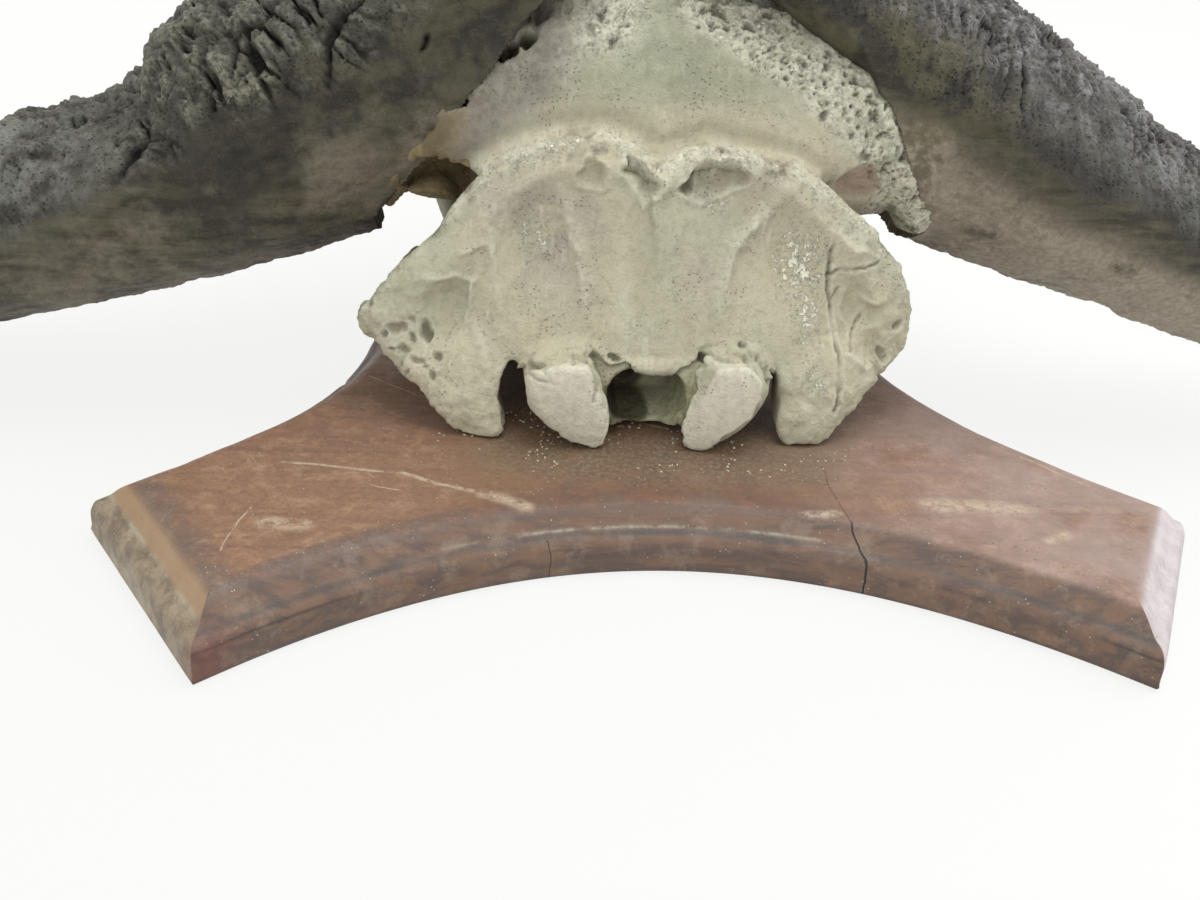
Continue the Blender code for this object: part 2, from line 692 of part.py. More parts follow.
def orbit_hole():
    """Solid that hollows the right orbit."""
    centre, outward, forward, up = orbit_axes()
    rings = []
    for place, radius in ORBIT_HOLLOW:
        ring = []
        for i in range(ORBIT_AROUND):
            angle = 2 * math.pi * i / ORBIT_AROUND
            radial = forward * math.cos(angle) + up * math.sin(angle)
            ring.append(centre + outward * place + radial * radius)
        rings.append(ring)
    return loft(rings)


def both_sides(mesh):
    """A mesh and its mirror image."""
    return [mesh, mirrored(mesh)]


def foramen():
    """Passage of the spinal cord, narrower inside."""
    rings = []
    for s, narrowing in FORAMEN_STATIONS:
        width = FORAMEN_HALF_WIDTH * (1 - narrowing)
        height = FORAMEN_HALF_HEIGHT * (1 - narrowing)
        ring = []
        for i in range(FORAMEN_SIDES):
            across, up = rounded(2 * math.pi * (i + 0.5) / FORAMEN_SIDES, 2.3)
            ring.append(skull_point(across * width, s, FORAMEN_H + up * height))
        rings.append(ring)
    return loft(rings)


def occiput():
    """Rear of the skull, its left edge a little narrower at mid height."""
    left = []
    for x, h in reversed(OCCIPUT_OUTLINE[1:-1]):
        narrowing = LEFT_NARROWING * math.exp(-(((h - NARROWING_H) / NARROWING_SPREAD) ** 2))
        left.append((-x * (1 - narrowing), h))
    outline = smooth_outline(list(OCCIPUT_OUTLINE) + left, 2)
    return relief(outline, (0.0, OCCIPUT_CENTRE_H), OCCIPUT_RINGS, occiput_rear, occiput_rim,
                  OCCIPUT_FRONT_S)


def condyle():
    """Right joint surface for the neck."""
    return relief(smooth_outline(CONDYLE_OUTLINE, 2), CONDYLE_CENTRE, RELIEF_RINGS, condyle_rear,
                  lambda x, h: CONDYLE_RIM_S, CONDYLE_FRONT_S)


def process():
    """Right paroccipital process, which stands on the plaque beside the condyle."""
    return relief(smooth_outline(PROCESS_OUTLINE, 2), PROCESS_CENTRE, RELIEF_RINGS, process_rear,
                  lambda x, h: process_rear(x, h, 1.0) + PROCESS_RIM, PROCESS_FRONT_S)


def make_skull():
    """The whole skull without horns as one closed mesh."""
    sideways = Vector((1, 0, 0))
    pieces = [
        occiput(),
        s_loft(PARIETAL_ROOF, 26, 2.5, 2.4),
        s_loft(BRAINCASE, 18, 2.4, 2.4),
        s_loft(FACE, 20, 1.9, 2.6),
        s_loft(BASE, 14, 2.4, 2.4),
        s_loft(NASAL, 14, 2.2, 3.0),
    ]
    halves = [condyle(), process(), orbit_rim(), swept(PREMAXILLA, PREMAXILLA_SIDES, sideways, 2.4)]
    halves.append(swept(smooth_rows(ARCH, 2), ARCH_SIDES, sideways, 2.4))
    halves += [ellipsoid(centre, radii) for centre, radii in SWELLINGS]
    halves += [tooth(index) for index in range(TOOTH_COUNT)]
    for half in halves:
        pieces += both_sides(half)
    whole = joined(pieces)

    cutters = [foramen(), s_loft(CONDYLE_NOTCH, 12, 2.4, 2.4), s_loft(NOSE_HOLLOW, 16, 2.4, 2.6)]
    cutters += both_sides(orbit_hole())
    cutters += [ellipsoid(centre, radii) for centre, radii in POCKETS]
    cutters.append(prism([(-FAR, -FAR), (FAR, -FAR), (FAR, 0.0), (-FAR, 0.0)], -FAR, FAR))
    for cutter in cutters:
        whole = combined(whole, cutter, "DIFFERENCE")
        cutter.free()
    return largest(whole)


# Side outlines of the bones in s and h, and how far from the middle plane each begins
OCCIPITAL_REGION = [(-FAR, -FAR), (0.062, -FAR), (0.062, 0.100), (0.060, FAR), (-FAR, FAR)]
NASAL_REGION = [(0.306, 0.1485), (0.360, 0.1310), (0.432, 0.1080), (FAR, 0.0600), (FAR, FAR),
                (0.306, FAR)]
PREMAXILLA_REGION = [(0.440, -FAR), (FAR, -FAR), (FAR, FAR), (0.414, FAR), (0.414, 0.070)]
MAXILLA_REGION = [(0.240, -FAR), (FAR, -FAR), (FAR, FAR), (0.306, FAR), (0.306, 0.110),
                  (0.240, 0.062)]
ZYGOMATIC_REGION = [(0.112, 0.0), (0.306, 0.0), (0.306, 0.086), (0.196, 0.086), (0.112, 0.086)]
FRONTAL_REGION = [(0.062, 0.084), (0.200, 0.084), (0.320, 0.100), (0.320, FAR), (0.062, FAR)]
NASAL_HALF_WIDTH = 0.0315
ZYGOMATIC_X = 0.0790


def make_bones(bone):
    """Part the skull into its bones by thin cuts and return the whole for the horns."""
    whole = make_skull()
    rest = whole.copy()

    def take(names, region, x_from, x_to):
        nonlocal rest
        sides = []
        if len(names) == 1:
            sides.append((names[0], -FAR, FAR))
        else:
            sides.append((names[0], x_from, x_to))
            sides.append((names[1], -x_to, -x_from))
        for name, low, high in sides:
            block = prism(region, low, high)
            node(name, settled(combined(rest, block, "INTERSECT")), bone)
            block.free()
        for name, low, high in sides:
            block = prism(region, low, high, GAP)
            remaining = combined(rest, block, "DIFFERENCE")
            rest.free()
            rest = remaining
            block.free()

    take(["occipital"], OCCIPITAL_REGION, -FAR, FAR)
    take(["nasal_right", "nasal_left"], NASAL_REGION, GAP / 2, NASAL_HALF_WIDTH)
    take(["premaxilla_right", "premaxilla_left"], PREMAXILLA_REGION, GAP / 2, FAR)
    take(["zygomatic_right", "zygomatic_left"], ZYGOMATIC_REGION, ZYGOMATIC_X, FAR)
    take(["maxilla_right", "maxilla_left"], MAXILLA_REGION, GAP / 2, FAR)
    take(["frontal"], FRONTAL_REGION, -FAR, FAR)
    node("braincase", settled(rest), bone)
    return whole


def horn_rings(side):
    """Sections of one horn and its tangents, side being 1 for the right and -1 for the left."""
    count = (len(HORN) - 1) * HORN_STEPS
    rows = []
    for i in range(count + 1):
        x, s, h, depth, thickness = catmull(HORN, i / HORN_STEPS)
        rows.append((x, s, h + side * HORN_RISE * x, depth, thickness))
    points = [skull_point(*row[:3]) for row in rows]
    rings = []
    tangents = []
    for index, row in enumerate(rows):
        tangent, depth, across = path_frame(points, index, Vector((0, 1, 0)))
        ring = []
        for i in range(HORN_SIDES):
            c, s = rounded(2 * math.pi * i / HORN_SIDES, HORN_POWER)
            ring.append(points[index] + depth * (c * row[3]) + across * (s * row[4]))
        rings.append(ring)
        tangents.append(tangent)
    return rings, tangents


def make_horns(skull, horn):
    """Both horns in three lengths, the first fitted over the bone it grows on."""
    bone_space = grown(skull, GAP * 2)
    half_space = prism([(-FAR, -FAR), (FAR, -FAR), (FAR, FAR), (-FAR, FAR)], -FAR, GAP / 2)
    for side, side_name in ((1, "right"), (-1, "left")):
        rings, tangents = horn_rings(side)
        for part, start, end in HORN_PARTS:
            first = int(start * HORN_STEPS)
            last = int(end * HORN_STEPS)
            lengths = [list(ring) for ring in rings[first:last + 1]]
            if start > 0:
                lengths[0] = [p + tangents[first] * GAP for p in lengths[0]]
            mesh = loft(lengths)
            if part == "boss":
                for space in (half_space, bone_space, skull):
                    cut = combined(mesh, space, "DIFFERENCE")
                    mesh.free()
                    mesh = cut
            if side < 0:
                mesh = mirrored(mesh)
            node("horn_" + part + "_" + side_name, settled(mesh), horn)


bone = material("bone", (0.42, 0.38, 0.28), 0.65)
horn = material("horn", (0.05, 0.045, 0.04), 0.55)
wood = material("wood", (0.20, 0.09, 0.05), 0.45)
make_plaque(wood)
make_horns(make_bones(bone), horn)
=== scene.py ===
"""Weathered skull and bossed horns of a bull buffalo on a worn wooden shield plaque."""
import itertools
import math

import bmesh
import bpy
import numpy as np
from mathutils import Matrix, Vector
from mathutils.bvhtree import BVHTree


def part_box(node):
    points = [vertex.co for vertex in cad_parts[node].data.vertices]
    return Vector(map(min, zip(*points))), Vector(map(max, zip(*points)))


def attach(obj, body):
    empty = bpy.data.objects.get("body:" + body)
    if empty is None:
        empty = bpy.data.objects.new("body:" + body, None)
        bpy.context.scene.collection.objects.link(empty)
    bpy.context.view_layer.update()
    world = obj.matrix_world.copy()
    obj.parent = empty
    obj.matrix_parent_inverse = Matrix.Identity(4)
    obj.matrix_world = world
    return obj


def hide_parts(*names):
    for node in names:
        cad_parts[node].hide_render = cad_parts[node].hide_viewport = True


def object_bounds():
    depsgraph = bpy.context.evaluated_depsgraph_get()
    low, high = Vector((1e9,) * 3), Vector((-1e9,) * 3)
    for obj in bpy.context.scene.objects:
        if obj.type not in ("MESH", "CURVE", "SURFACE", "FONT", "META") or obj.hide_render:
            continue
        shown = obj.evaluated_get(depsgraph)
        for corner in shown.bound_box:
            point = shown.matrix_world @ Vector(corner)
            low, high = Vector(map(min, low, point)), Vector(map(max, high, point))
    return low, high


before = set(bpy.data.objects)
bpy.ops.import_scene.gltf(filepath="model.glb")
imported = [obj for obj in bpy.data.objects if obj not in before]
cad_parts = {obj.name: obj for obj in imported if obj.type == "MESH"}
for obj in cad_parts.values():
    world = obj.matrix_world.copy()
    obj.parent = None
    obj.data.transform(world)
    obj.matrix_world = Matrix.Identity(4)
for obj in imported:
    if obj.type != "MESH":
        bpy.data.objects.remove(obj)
cad_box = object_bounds()

bl_info = {
    "name": "Buffalo Skull Mount",
    "version": (1, 0, 0),
    "blender": (4, 5, 0),
    "location": "3D View > Sidebar > Skull Mount",
    "description": "Dresses the solids of a buffalo skull mount in bone, horn and worn wood",
    "category": "Object",
}

BONE_NODES = ("occipital", "frontal", "braincase", "zygomatic_right", "zygomatic_left", "maxilla_right",
              "maxilla_left", "nasal_right", "nasal_left", "premaxilla_right", "premaxilla_left")
HORN_LENGTHS = ("boss", "middle", "tip")
SIDES = (("right", 1), ("left", -1))

PLAQUE_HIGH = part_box("shield_plaque")[1]
# The skull's own frame: x from its middle, s forward from the condyles and h up from where it stands.
# The skull leans: its right side rises with x, in full from LEAN_FULL_H up
SKULL_BACK_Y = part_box("occipital")[0].y
SKULL_FLOOR_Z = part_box("occipital")[0].z
SKULL_SHIFT_X = -0.0053
SKULL_LEAN = 0.0234
LEAN_FULL_H = 0.05


# Numbers: smooth steps, noise and cells on arrays of points

def smooth_step(low, high, values):
    """0 below low, 1 above high and a smooth rise between them."""
    t = np.clip((values - low) / (high - low), 0.0, 1.0)
    return t * t * (3 - 2 * t)


def bump(values, centre, width):
    """Bell of height 1 round a centre."""
    return np.exp(-(((values - centre) / width) ** 2))


def lattice(cell, seed):
    """A fixed random number from 0 to 1 for each whole-numbered point."""
    with np.errstate(over="ignore"):
        n = cell[..., 0] * 374761393 + cell[..., 1] * 668265263 + cell[..., 2] * 1440662683
        n = (n + seed * 1274126177).astype(np.uint32)
        n = (n ^ (n >> 13)) * np.uint32(1274126177)
        n = (n ^ (n >> 15)) * np.uint32(2246822519)
        n = n ^ (n >> 16)
    return (n & np.uint32(0xFFFFFF)) / 16777215.0


def noise(points, size, seed):
    """Smooth noise from -1 to 1 with features of a size."""
    scaled = points / size
    cell = np.floor(scaled).astype(np.int64)
    t = scaled - cell
    t = t * t * (3 - 2 * t)
    total = np.zeros(len(points))
    for corner in itertools.product((0, 1), repeat=3):
        weight = np.prod(np.where(np.array(corner), t, 1 - t), axis=1)
        total += weight * lattice(cell + np.array(corner), seed)
    return total * 2 - 1


def noises(points, size, seeds):
    """Smooth noise in one column for each seed."""
    return np.stack([noise(points, size, seed) for seed in seeds], axis=1)


def layered(points, size, seed, octaves=4, gain=0.5):
    """Sum of finer and finer noise, about -1 to 1."""
    total = np.zeros(len(points))
    for k in range(octaves):
        total += noise(points, size / 2**k, seed + k) * gain**k
    return total * (1 - gain) / (1 - gain**octaves)


def cells(points, size, seed):
    """Distances to the nearest and next of scattered points, in units of their spacing."""
    scaled = points / size
    cell = np.floor(scaled).astype(np.int64)
    first = np.full(len(points), 9.0)
    second = np.full(len(points), 9.0)
    for offset in itertools.product((-1, 0, 1), repeat=3):
        near = cell + np.array(offset)
        place = near + np.stack([lattice(near, seed + k) for k in (11, 23, 37)], axis=1)
        distance = np.sqrt(((place - scaled) ** 2).sum(axis=1))
        closer = distance < first
        second = np.where(closer, first, np.minimum(second, distance))
        first = np.where(closer, distance, first)
    return first, second


def to_path(points, path):
    """Distance from points to a line through others, and how far along it, 0 to 1."""
    best = np.full(len(points), 9.0)
    along = np.zeros(len(points))
    path = np.array(path)
    for k, (a, b) in enumerate(zip(path, path[1:])):
        step = b - a
        t = np.clip((points - a) @ step / (step @ step), 0, 1)
        distance = np.linalg.norm(points - a - t[:, None] * step, axis=1)
        nearer = distance < best
        best = np.where(nearer, distance, best)
        along = np.where(nearer, (k + t) / (len(path) - 1), along)
    return best, along


def inside_of(points, outline):
    """Distance to a closed outline in a plane, plus inside it and minus outside."""
    ring = np.array(outline + outline[:1])
    distance, _ = to_path(points, ring)
    inside = np.zeros(len(points), dtype=bool)
    for (ax, ay), (bx, by) in zip(ring, ring[1:]):
        if ay == by:
            continue
        crosses = (points[:, 1] < ay) != (points[:, 1] < by)
        inside ^= crosses & (points[:, 0] < ax + (points[:, 1] - ay) * (bx - ax) / (by - ay))
    return np.where(inside, distance, -distance)


# Meshes

def skull_frame(points):
    """x, s and h in the skull's own frame of world points."""
    x = points[:, 0] - SKULL_SHIFT_X
    s = points[:, 1] - SKULL_BACK_Y
    h = points[:, 2] - SKULL_FLOOR_Z
    return x, s, h - SKULL_LEAN * x * np.clip(h / LEAN_FULL_H, 0, 1)


def to_world(points, side=1):
    """World place of points of the skull's own frame, mirrored where side is -1."""
    x = points[..., 0] * side
    h = points[..., 2]
    z = h + SKULL_FLOOR_Z + SKULL_LEAN * x * np.clip(h / LEAN_FULL_H, 0, 1)
    return np.stack([x + SKULL_SHIFT_X, points[..., 1] + SKULL_BACK_Y, z], axis=-1)


def mesh_from(name, points, faces, attributes=None):
    """Mesh with smooth faces and named numbers on its points."""
    data = bpy.data.meshes.new(name)
    data.from_pydata(points.tolist() if hasattr(points, "tolist") else points, [], faces)
    for key, values in (attributes or {}).items():
        data.attributes.new(key, "FLOAT", "POINT").data.foreach_set("value", values.astype(np.float32))
    data.shade_smooth()
    return data


def add_piece(name, data, material, replaced=()):
    """Object in the scene that rides on the mount and stands for some solids."""
    piece = bpy.data.objects.new(name, data)
    bpy.context.scene.collection.objects.link(piece)
    data.materials.clear()
    data.materials.append(material)
    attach(piece, "root")
    if replaced:
        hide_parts(*replaced)
    return piece


def points_of(data):
    """Points of a mesh as an array."""
    flat = np.empty(len(data.vertices) * 3)
    data.vertices.foreach_get("co", flat)
    return flat.reshape(-1, 3)


def normals_of(points, quads):
    """Smooth normals of the points of a mesh of four-sided faces."""
    a, b, c, d = (points[quads[:, k]] for k in range(4))
    face = np.cross(c - a, d - b)
    total = np.zeros_like(points)
    for axis in range(3):
        for k in range(4):
            total[:, axis] += np.bincount(quads[:, k], weights=face[:, axis], minlength=len(points))
    return total / np.maximum(np.linalg.norm(total, axis=1, keepdims=True), 1e-12)


def merged(node, swell=0.0):
    """Closed copy of a solid's mesh, grown a little."""
    mesh = bmesh.new()
    mesh.from_mesh(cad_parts[node].data)
    bmesh.ops.remove_doubles(mesh, verts=mesh.verts, dist=0.000005)
    mesh.normal_update()
    moves = [(v, v.normal * swell) for v in mesh.verts]
    for vertex, move in moves:
        vertex.co += move
    return mesh


def ellipsoids(name, forms):
    """Mesh of rounded solids, each with its centre and radii in the skull's frame."""
    mesh = bmesh.new()
    for centre, radii in forms:
        made = bmesh.ops.create_uvsphere(mesh, u_segments=40, v_segments=24, radius=1.0)["verts"]
        bmesh.ops.scale(mesh, vec=radii, verts=made)
        bmesh.ops.translate(mesh, vec=Vector(to_world(np.array(centre))), verts=made)
    data = bpy.data.meshes.new(name)
    mesh.to_mesh(data)
    mesh.free()
    return data


# The rear of the skull is enlarged by this share while its skin is made, so that the skin is finer there,
# and stretched along s: places of s, and where they go
REAR_ZOOM = 1.0
REAR_S = (-0.02, 0.08, 0.7)
REAR_STRETCHED_S = (-0.028, 0.112, 0.732)


def enlarged(points, back=False):
    """World points with the rear of the skull enlarged, or brought back."""
    s = points[:, 1] - SKULL_BACK_Y
    other = np.interp(s, REAR_STRETCHED_S, REAR_S) if back else np.interp(s, REAR_S, REAR_STRETCHED_S)
    zoom = 1 + REAR_ZOOM * smooth_step(0.135, 0.085, other if back else s)
    if back:
        zoom = 1 / zoom
    return np.stack([points[:, 0] * zoom, other + SKULL_BACK_Y, points[:, 2] * zoom], axis=1)


def move_points(data, points):
    """Give a mesh new places for its points."""
    data.vertices.foreach_set("co", points.ravel())
    data.update()


def remeshed(nodes, voxel, swell, added, removed):
    """Points and four-sided faces of one skin over several solids, with forms added and cut."""
    joined = bmesh.new()
    for node in nodes:
        mesh = merged(node, swell)
        data = bpy.data.meshes.new("part")
        mesh.to_mesh(data)
        mesh.free()
        joined.from_mesh(data)
        bpy.data.meshes.remove(data)
    more = ellipsoids("added", added)
    joined.from_mesh(more)
    bpy.data.meshes.remove(more)
    data = bpy.data.meshes.new("joined")
    joined.to_mesh(data)
    joined.free()
    move_points(data, enlarged(points_of(data)))
    source = bpy.data.objects.new("joined", data)
    bpy.context.scene.collection.objects.link(source)
    cutter = bpy.data.objects.new("cutter", ellipsoids("removed", removed))
    move_points(cutter.data, enlarged(points_of(cutter.data)))
    bpy.context.scene.collection.objects.link(cutter)
    first = source.modifiers.new("even", "REMESH")
    cut = source.modifiers.new("cut", "BOOLEAN")
    cut.operation = "DIFFERENCE"
    cut.solver = "MANIFOLD"
    cut.object = cutter
    second = source.modifiers.new("even again", "REMESH")
    for remesh in (first, second):
        remesh.mode = "VOXEL"
        remesh.voxel_size = voxel
    bpy.context.view_layer.update()
    evaluated = source.evaluated_get(bpy.context.evaluated_depsgraph_get())
    result = bpy.data.meshes.new_from_object(evaluated)
    points = enlarged(points_of(result), back=True)
    quads = np.empty(len(result.loops), dtype=np.int64)
    result.loops.foreach_get("vertex_index", quads)
    for used in (source, cutter):
        mesh_data = used.data
        bpy.data.objects.remove(used, do_unlink=True)
        bpy.data.meshes.remove(mesh_data)
    bpy.data.meshes.remove(result)
    return points, quads.reshape(-1, 4)


# Shares of the way to its neighbours' mean that each round moves a point, first in and then back out
RELAX_STEPS = (0.5, -0.53)


def relaxed(points, quads, rounds):
    """Points smoothed over their neighbours, without shrinking the whole."""
    edges = np.concatenate([quads[:, [k, (k + 1) % 4]] for k in range(4)])
    edges = np.concatenate([edges, edges[:, ::-1]])
    count = np.bincount(edges[:, 0], minlength=len(points)).astype(float)
    moved = points.copy()
    for _ in range(rounds):
        for step in RELAX_STEPS:
            mean = np.empty_like(moved)
            for axis in range(3):
                summed = np.bincount(edges[:, 0], weights=moved[edges[:, 1], axis], minlength=len(points))
                mean[:, axis] = summed / count
            moved += (mean - moved) * step
    return moved


# Materials

def put(tree, socket, value):
    """Link an output to a socket or set its value."""
    if isinstance(value, bpy.types.NodeSocket):
        tree.links.new(value, socket)
    else:
        socket.default_value = value


def new_node(tree, kind, inputs=None, **settings):
    """New node with settings, and inputs that are values or other nodes' outputs."""
    node = tree.nodes.new(kind)
    for key, value in settings.items():
        setattr(node, key, value)
    for key, value in (inputs or {}).items():
        put(tree, node.inputs[key], value)
    return node


class Nodes:
    """Builds the node tree of one material with few words."""

    def __init__(self, name):
        self.material = bpy.data.materials.new(name)
        self.material.use_nodes = True
        self.tree = self.material.node_tree
        self.shader = self.tree.nodes["Principled BSDF"]
        self.place = self.add("ShaderNodeTexCoord").outputs["Object"]

    def add(self, kind, inputs=None, **settings):
        """New node in the material's tree."""
        return new_node(self.tree, kind, inputs, **settings)

    def noise(self, scale, detail=4.0, roughness=0.55, stretch=None, distortion=0.0):
        """Noise from 0 to 1 on the object's own coordinates, scale in features to a metre."""
        place = self.place
        if stretch:
            place = self.add("ShaderNodeMapping", {"Vector": place, "Scale": stretch}).outputs[0]
        made = self.add("ShaderNodeTexNoise", {"Vector": place, "Scale": scale, "Detail": detail,
                                               "Roughness": roughness, "Distortion": distortion})
        return made.outputs["Fac"]

    def spots(self, scale):
        """Distance to the nearest of scattered points."""
        return self.add("ShaderNodeTexVoronoi", {"Vector": self.place, "Scale": scale}).outputs["Distance"]

    def attribute(self, name):
        """A number stored on the piece's points."""
        return self.add("ShaderNodeAttribute", attribute_name=name).outputs["Fac"]

    def math(self, operation, first, second):
        """One arithmetic step."""
        return self.add("ShaderNodeMath", {0: first, 1: second}, operation=operation).outputs[0]

    def times(self, first, *others):
        """Product of numbers."""
        for other in others:
            first = self.math("MULTIPLY", first, other)
        return first

    def plus(self, first, second):
        """Sum of two numbers."""
        return self.math("ADD", first, second)

    def minus(self, first, second):
        """First number less the second."""
        return self.math("SUBTRACT", first, second)

    def opposite(self, value):
        """1 where a value is 0, and 0 where it is 1."""
        return self.minus(1.0, value)

    def ramp(self, value, low, high):
        """0 below low, 1 above high, smooth between."""
        made = self.add("ShaderNodeMapRange", {"Value": value, "From Min": low, "From Max": high},
                        interpolation_type="SMOOTHSTEP")
        return made.outputs["Result"]

    def mix(self, factor, first, second):
        """Colour between two colours."""
        made = self.add("ShaderNodeMix", data_type="RGBA", clamp_factor=True)
        for index, value in ((0, factor), (6, first), (7, second)):
            if isinstance(value, tuple):
                value = (*value, 1.0)
            put(self.tree, made.inputs[index], value)
        return made.outputs[2]

    def coat(self, colour, tone, *factors):
        """Colour with a tone laid over it, as strong as the product of some factors."""
        return self.mix(self.times(*factors), colour, tone)

    def separate(self):
        """X, Y and Z of the object's own coordinates."""
        made = self.add("ShaderNodeSeparateXYZ", {0: self.place})
        return made.outputs[0], made.outputs[1], made.outputs[2]

    def vector(self, operation, first, second):
        """One step of vector arithmetic."""
        made = self.add("ShaderNodeVectorMath", {0: first, 1: second}, operation=operation)
        return made.outputs["Value" if operation in ("DOT_PRODUCT", "DISTANCE") else "Vector"]

    def scaled(self, vector, scale):
        """Vector times a number."""
        made = self.add("ShaderNodeVectorMath", {0: vector, "Scale": scale}, operation="SCALE")
        return made.outputs["Vector"]

    def near_line(self, place, start, end, width, soften):
        """1 on a line on the plaque's face from start to end and 0 away from it."""
        start = Vector((*start, 0))
        along = Vector((*end, 0)) - start
        off = self.vector("SUBTRACT", place, tuple(start))
        share = self.vector("DOT_PRODUCT", off, tuple(along / along.length_squared))
        share = self.math("MINIMUM", self.math("MAXIMUM", share, 0.0), 1.0)
        gap = self.vector("DISTANCE", off, self.scaled(tuple(along), share))
        return self.opposite(self.ramp(gap, width * soften, width))

    def lines(self, place, rows, soften):
        """1 on any of some lines on the plaque's face and 0 away from them."""
        marks = 0.0
        for start, end, width in rows:
            marks = self.math("MAXIMUM", marks, self.near_line(place, start, end, width, soften))
        return marks

    def finish(self, colour, roughness, height=None, distance=0.001, strength=1.0):
        """Set the shader's colour, roughness and bump."""
        put(self.tree, self.shader.inputs["Base Color"], colour)
        put(self.tree, self.shader.inputs["Roughness"], roughness)
        if height is not None:
            made = self.add("ShaderNodeBump", {"Height": height, "Distance": distance, "Strength": strength})
            put(self.tree, self.shader.inputs["Normal"], made.outputs[0])
        return self.material


def bone_material(settings):
    """Dry weathered bone: khaki with greener and purple patches, pale worn edges, painted shade in its pores,
    hollows, pits, cracks and holes, dark seams along the sutures, and a painted shadow of the left horn, with
    stain, on the roof.
    """
    n = Nodes("bone_weathered")
    broad = n.noise(13.0, 3.0, 0.5)
    middle = n.noise(52.0, 5.0, 0.62)
    fine = n.noise(260.0, 6.0, 0.7)
    grit = n.noise(900.0, 4.0, 0.72)
    colour = n.mix(n.ramp(broad, 0.36, 0.68), tuple(settings.bone), tuple(settings.bone_green))
    colour = n.coat(colour, (0.5, 0.47, 0.36), n.ramp(middle, 0.42, 0.66), 0.4)
    purple = n.times(n.ramp(n.noise(30.0, 6.0, 0.7), 0.44, 0.62), n.attribute("lilac"))
    colour = n.coat(colour, tuple(settings.bone_purple), purple, 0.75)
    colour = n.coat(colour, n.mix(n.ramp(middle, 0.35, 0.65), (0.23, 0.25, 0.17), (0.32, 0.34, 0.235)),
                    n.attribute("green"), 0.8)
    colour = n.coat(colour, (0.215, 0.195, 0.125), n.ramp(fine, 0.46, 0.68), 0.32)
    colour = n.coat(colour, (0.66, 0.63, 0.5), n.ramp(grit, 0.54, 0.72), 0.3)
    # Painted shadow of the left horn, with stain, on the roof's upper left.
    colour = n.coat(colour, n.mix(n.ramp(fine, 0.3, 0.7), (0.175, 0.155, 0.128), (0.27, 0.246, 0.205)),
                    n.attribute("roof_shadow_and_stain"), n.ramp(middle, 0.05, 0.55))
    colour = n.coat(colour, n.mix(n.ramp(fine, 0.35, 0.7), (0.66, 0.63, 0.5), (0.54, 0.51, 0.41)),
                    n.attribute("condyle"), 0.92)
    colour = n.coat(colour, n.mix(n.ramp(fine, 0.35, 0.65), (0.235, 0.23, 0.115), (0.42, 0.405, 0.265)),
                    n.attribute("moss"))
    pale = n.times(n.attribute("pale"), n.ramp(n.noise(170.0, 6.0, 0.75), 0.3, 0.56))
    colour = n.coat(colour, tuple(settings.bone_pale), pale)
    colour = n.coat(colour, n.mix(n.ramp(middle, 0.35, 0.65), (0.135, 0.1, 0.045), (0.285, 0.225, 0.112)),
                    n.attribute("amber"))
    colour = n.coat(colour, n.mix(fine, (0.42, 0.31, 0.245), (0.31, 0.225, 0.17)), n.attribute("rosy"))
    flakes = n.plus(n.noise(300.0, 8.0, 0.82), n.times(n.attribute("flakes"), 0.13))
    flakes = n.times(n.ramp(flakes, 0.6, 0.625), n.ramp(n.attribute("flakes"), 0.05, 0.35))
    colour = n.coat(colour, (0.74, 0.73, 0.6), flakes)
    # Painted shade in small pores.
    pin = n.opposite(n.ramp(n.spots(520.0), 0.1, 0.26))
    pin = n.times(pin, n.ramp(n.noise(60.0, 3.0), 0.5, 0.62))
    colour = n.coat(colour, (0.12, 0.095, 0.055), pin, 0.4)
    # Painted shade in hollows, pits, cracks, holes and pores, with dark seams along the sutures.
    colour = n.coat(colour, n.mix(n.ramp(fine, 0.3, 0.7), (0.022, 0.017, 0.009), (0.085, 0.066, 0.036)),
                    n.attribute("cavity_shade_and_seams"))
    grain = n.plus(n.times(fine, 0.85), n.times(grit, 0.35))
    grain = n.minus(grain, n.times(pin, 0.5))
    grain = n.plus(grain, n.times(flakes, 0.35))
    grain = n.plus(grain, n.times(pale, 0.2))
    strokes = n.ramp(n.noise(300.0, 3.0, 0.5, (1.0, 1.0, 0.3), 1.2), 0.58, 0.7)
    grain = n.minus(grain, n.times(strokes, n.attribute("vessels")))
    rough = n.minus(0.8, n.times(n.attribute("condyle"), 0.25))
    return n.finish(colour, rough, grain, 0.0018)


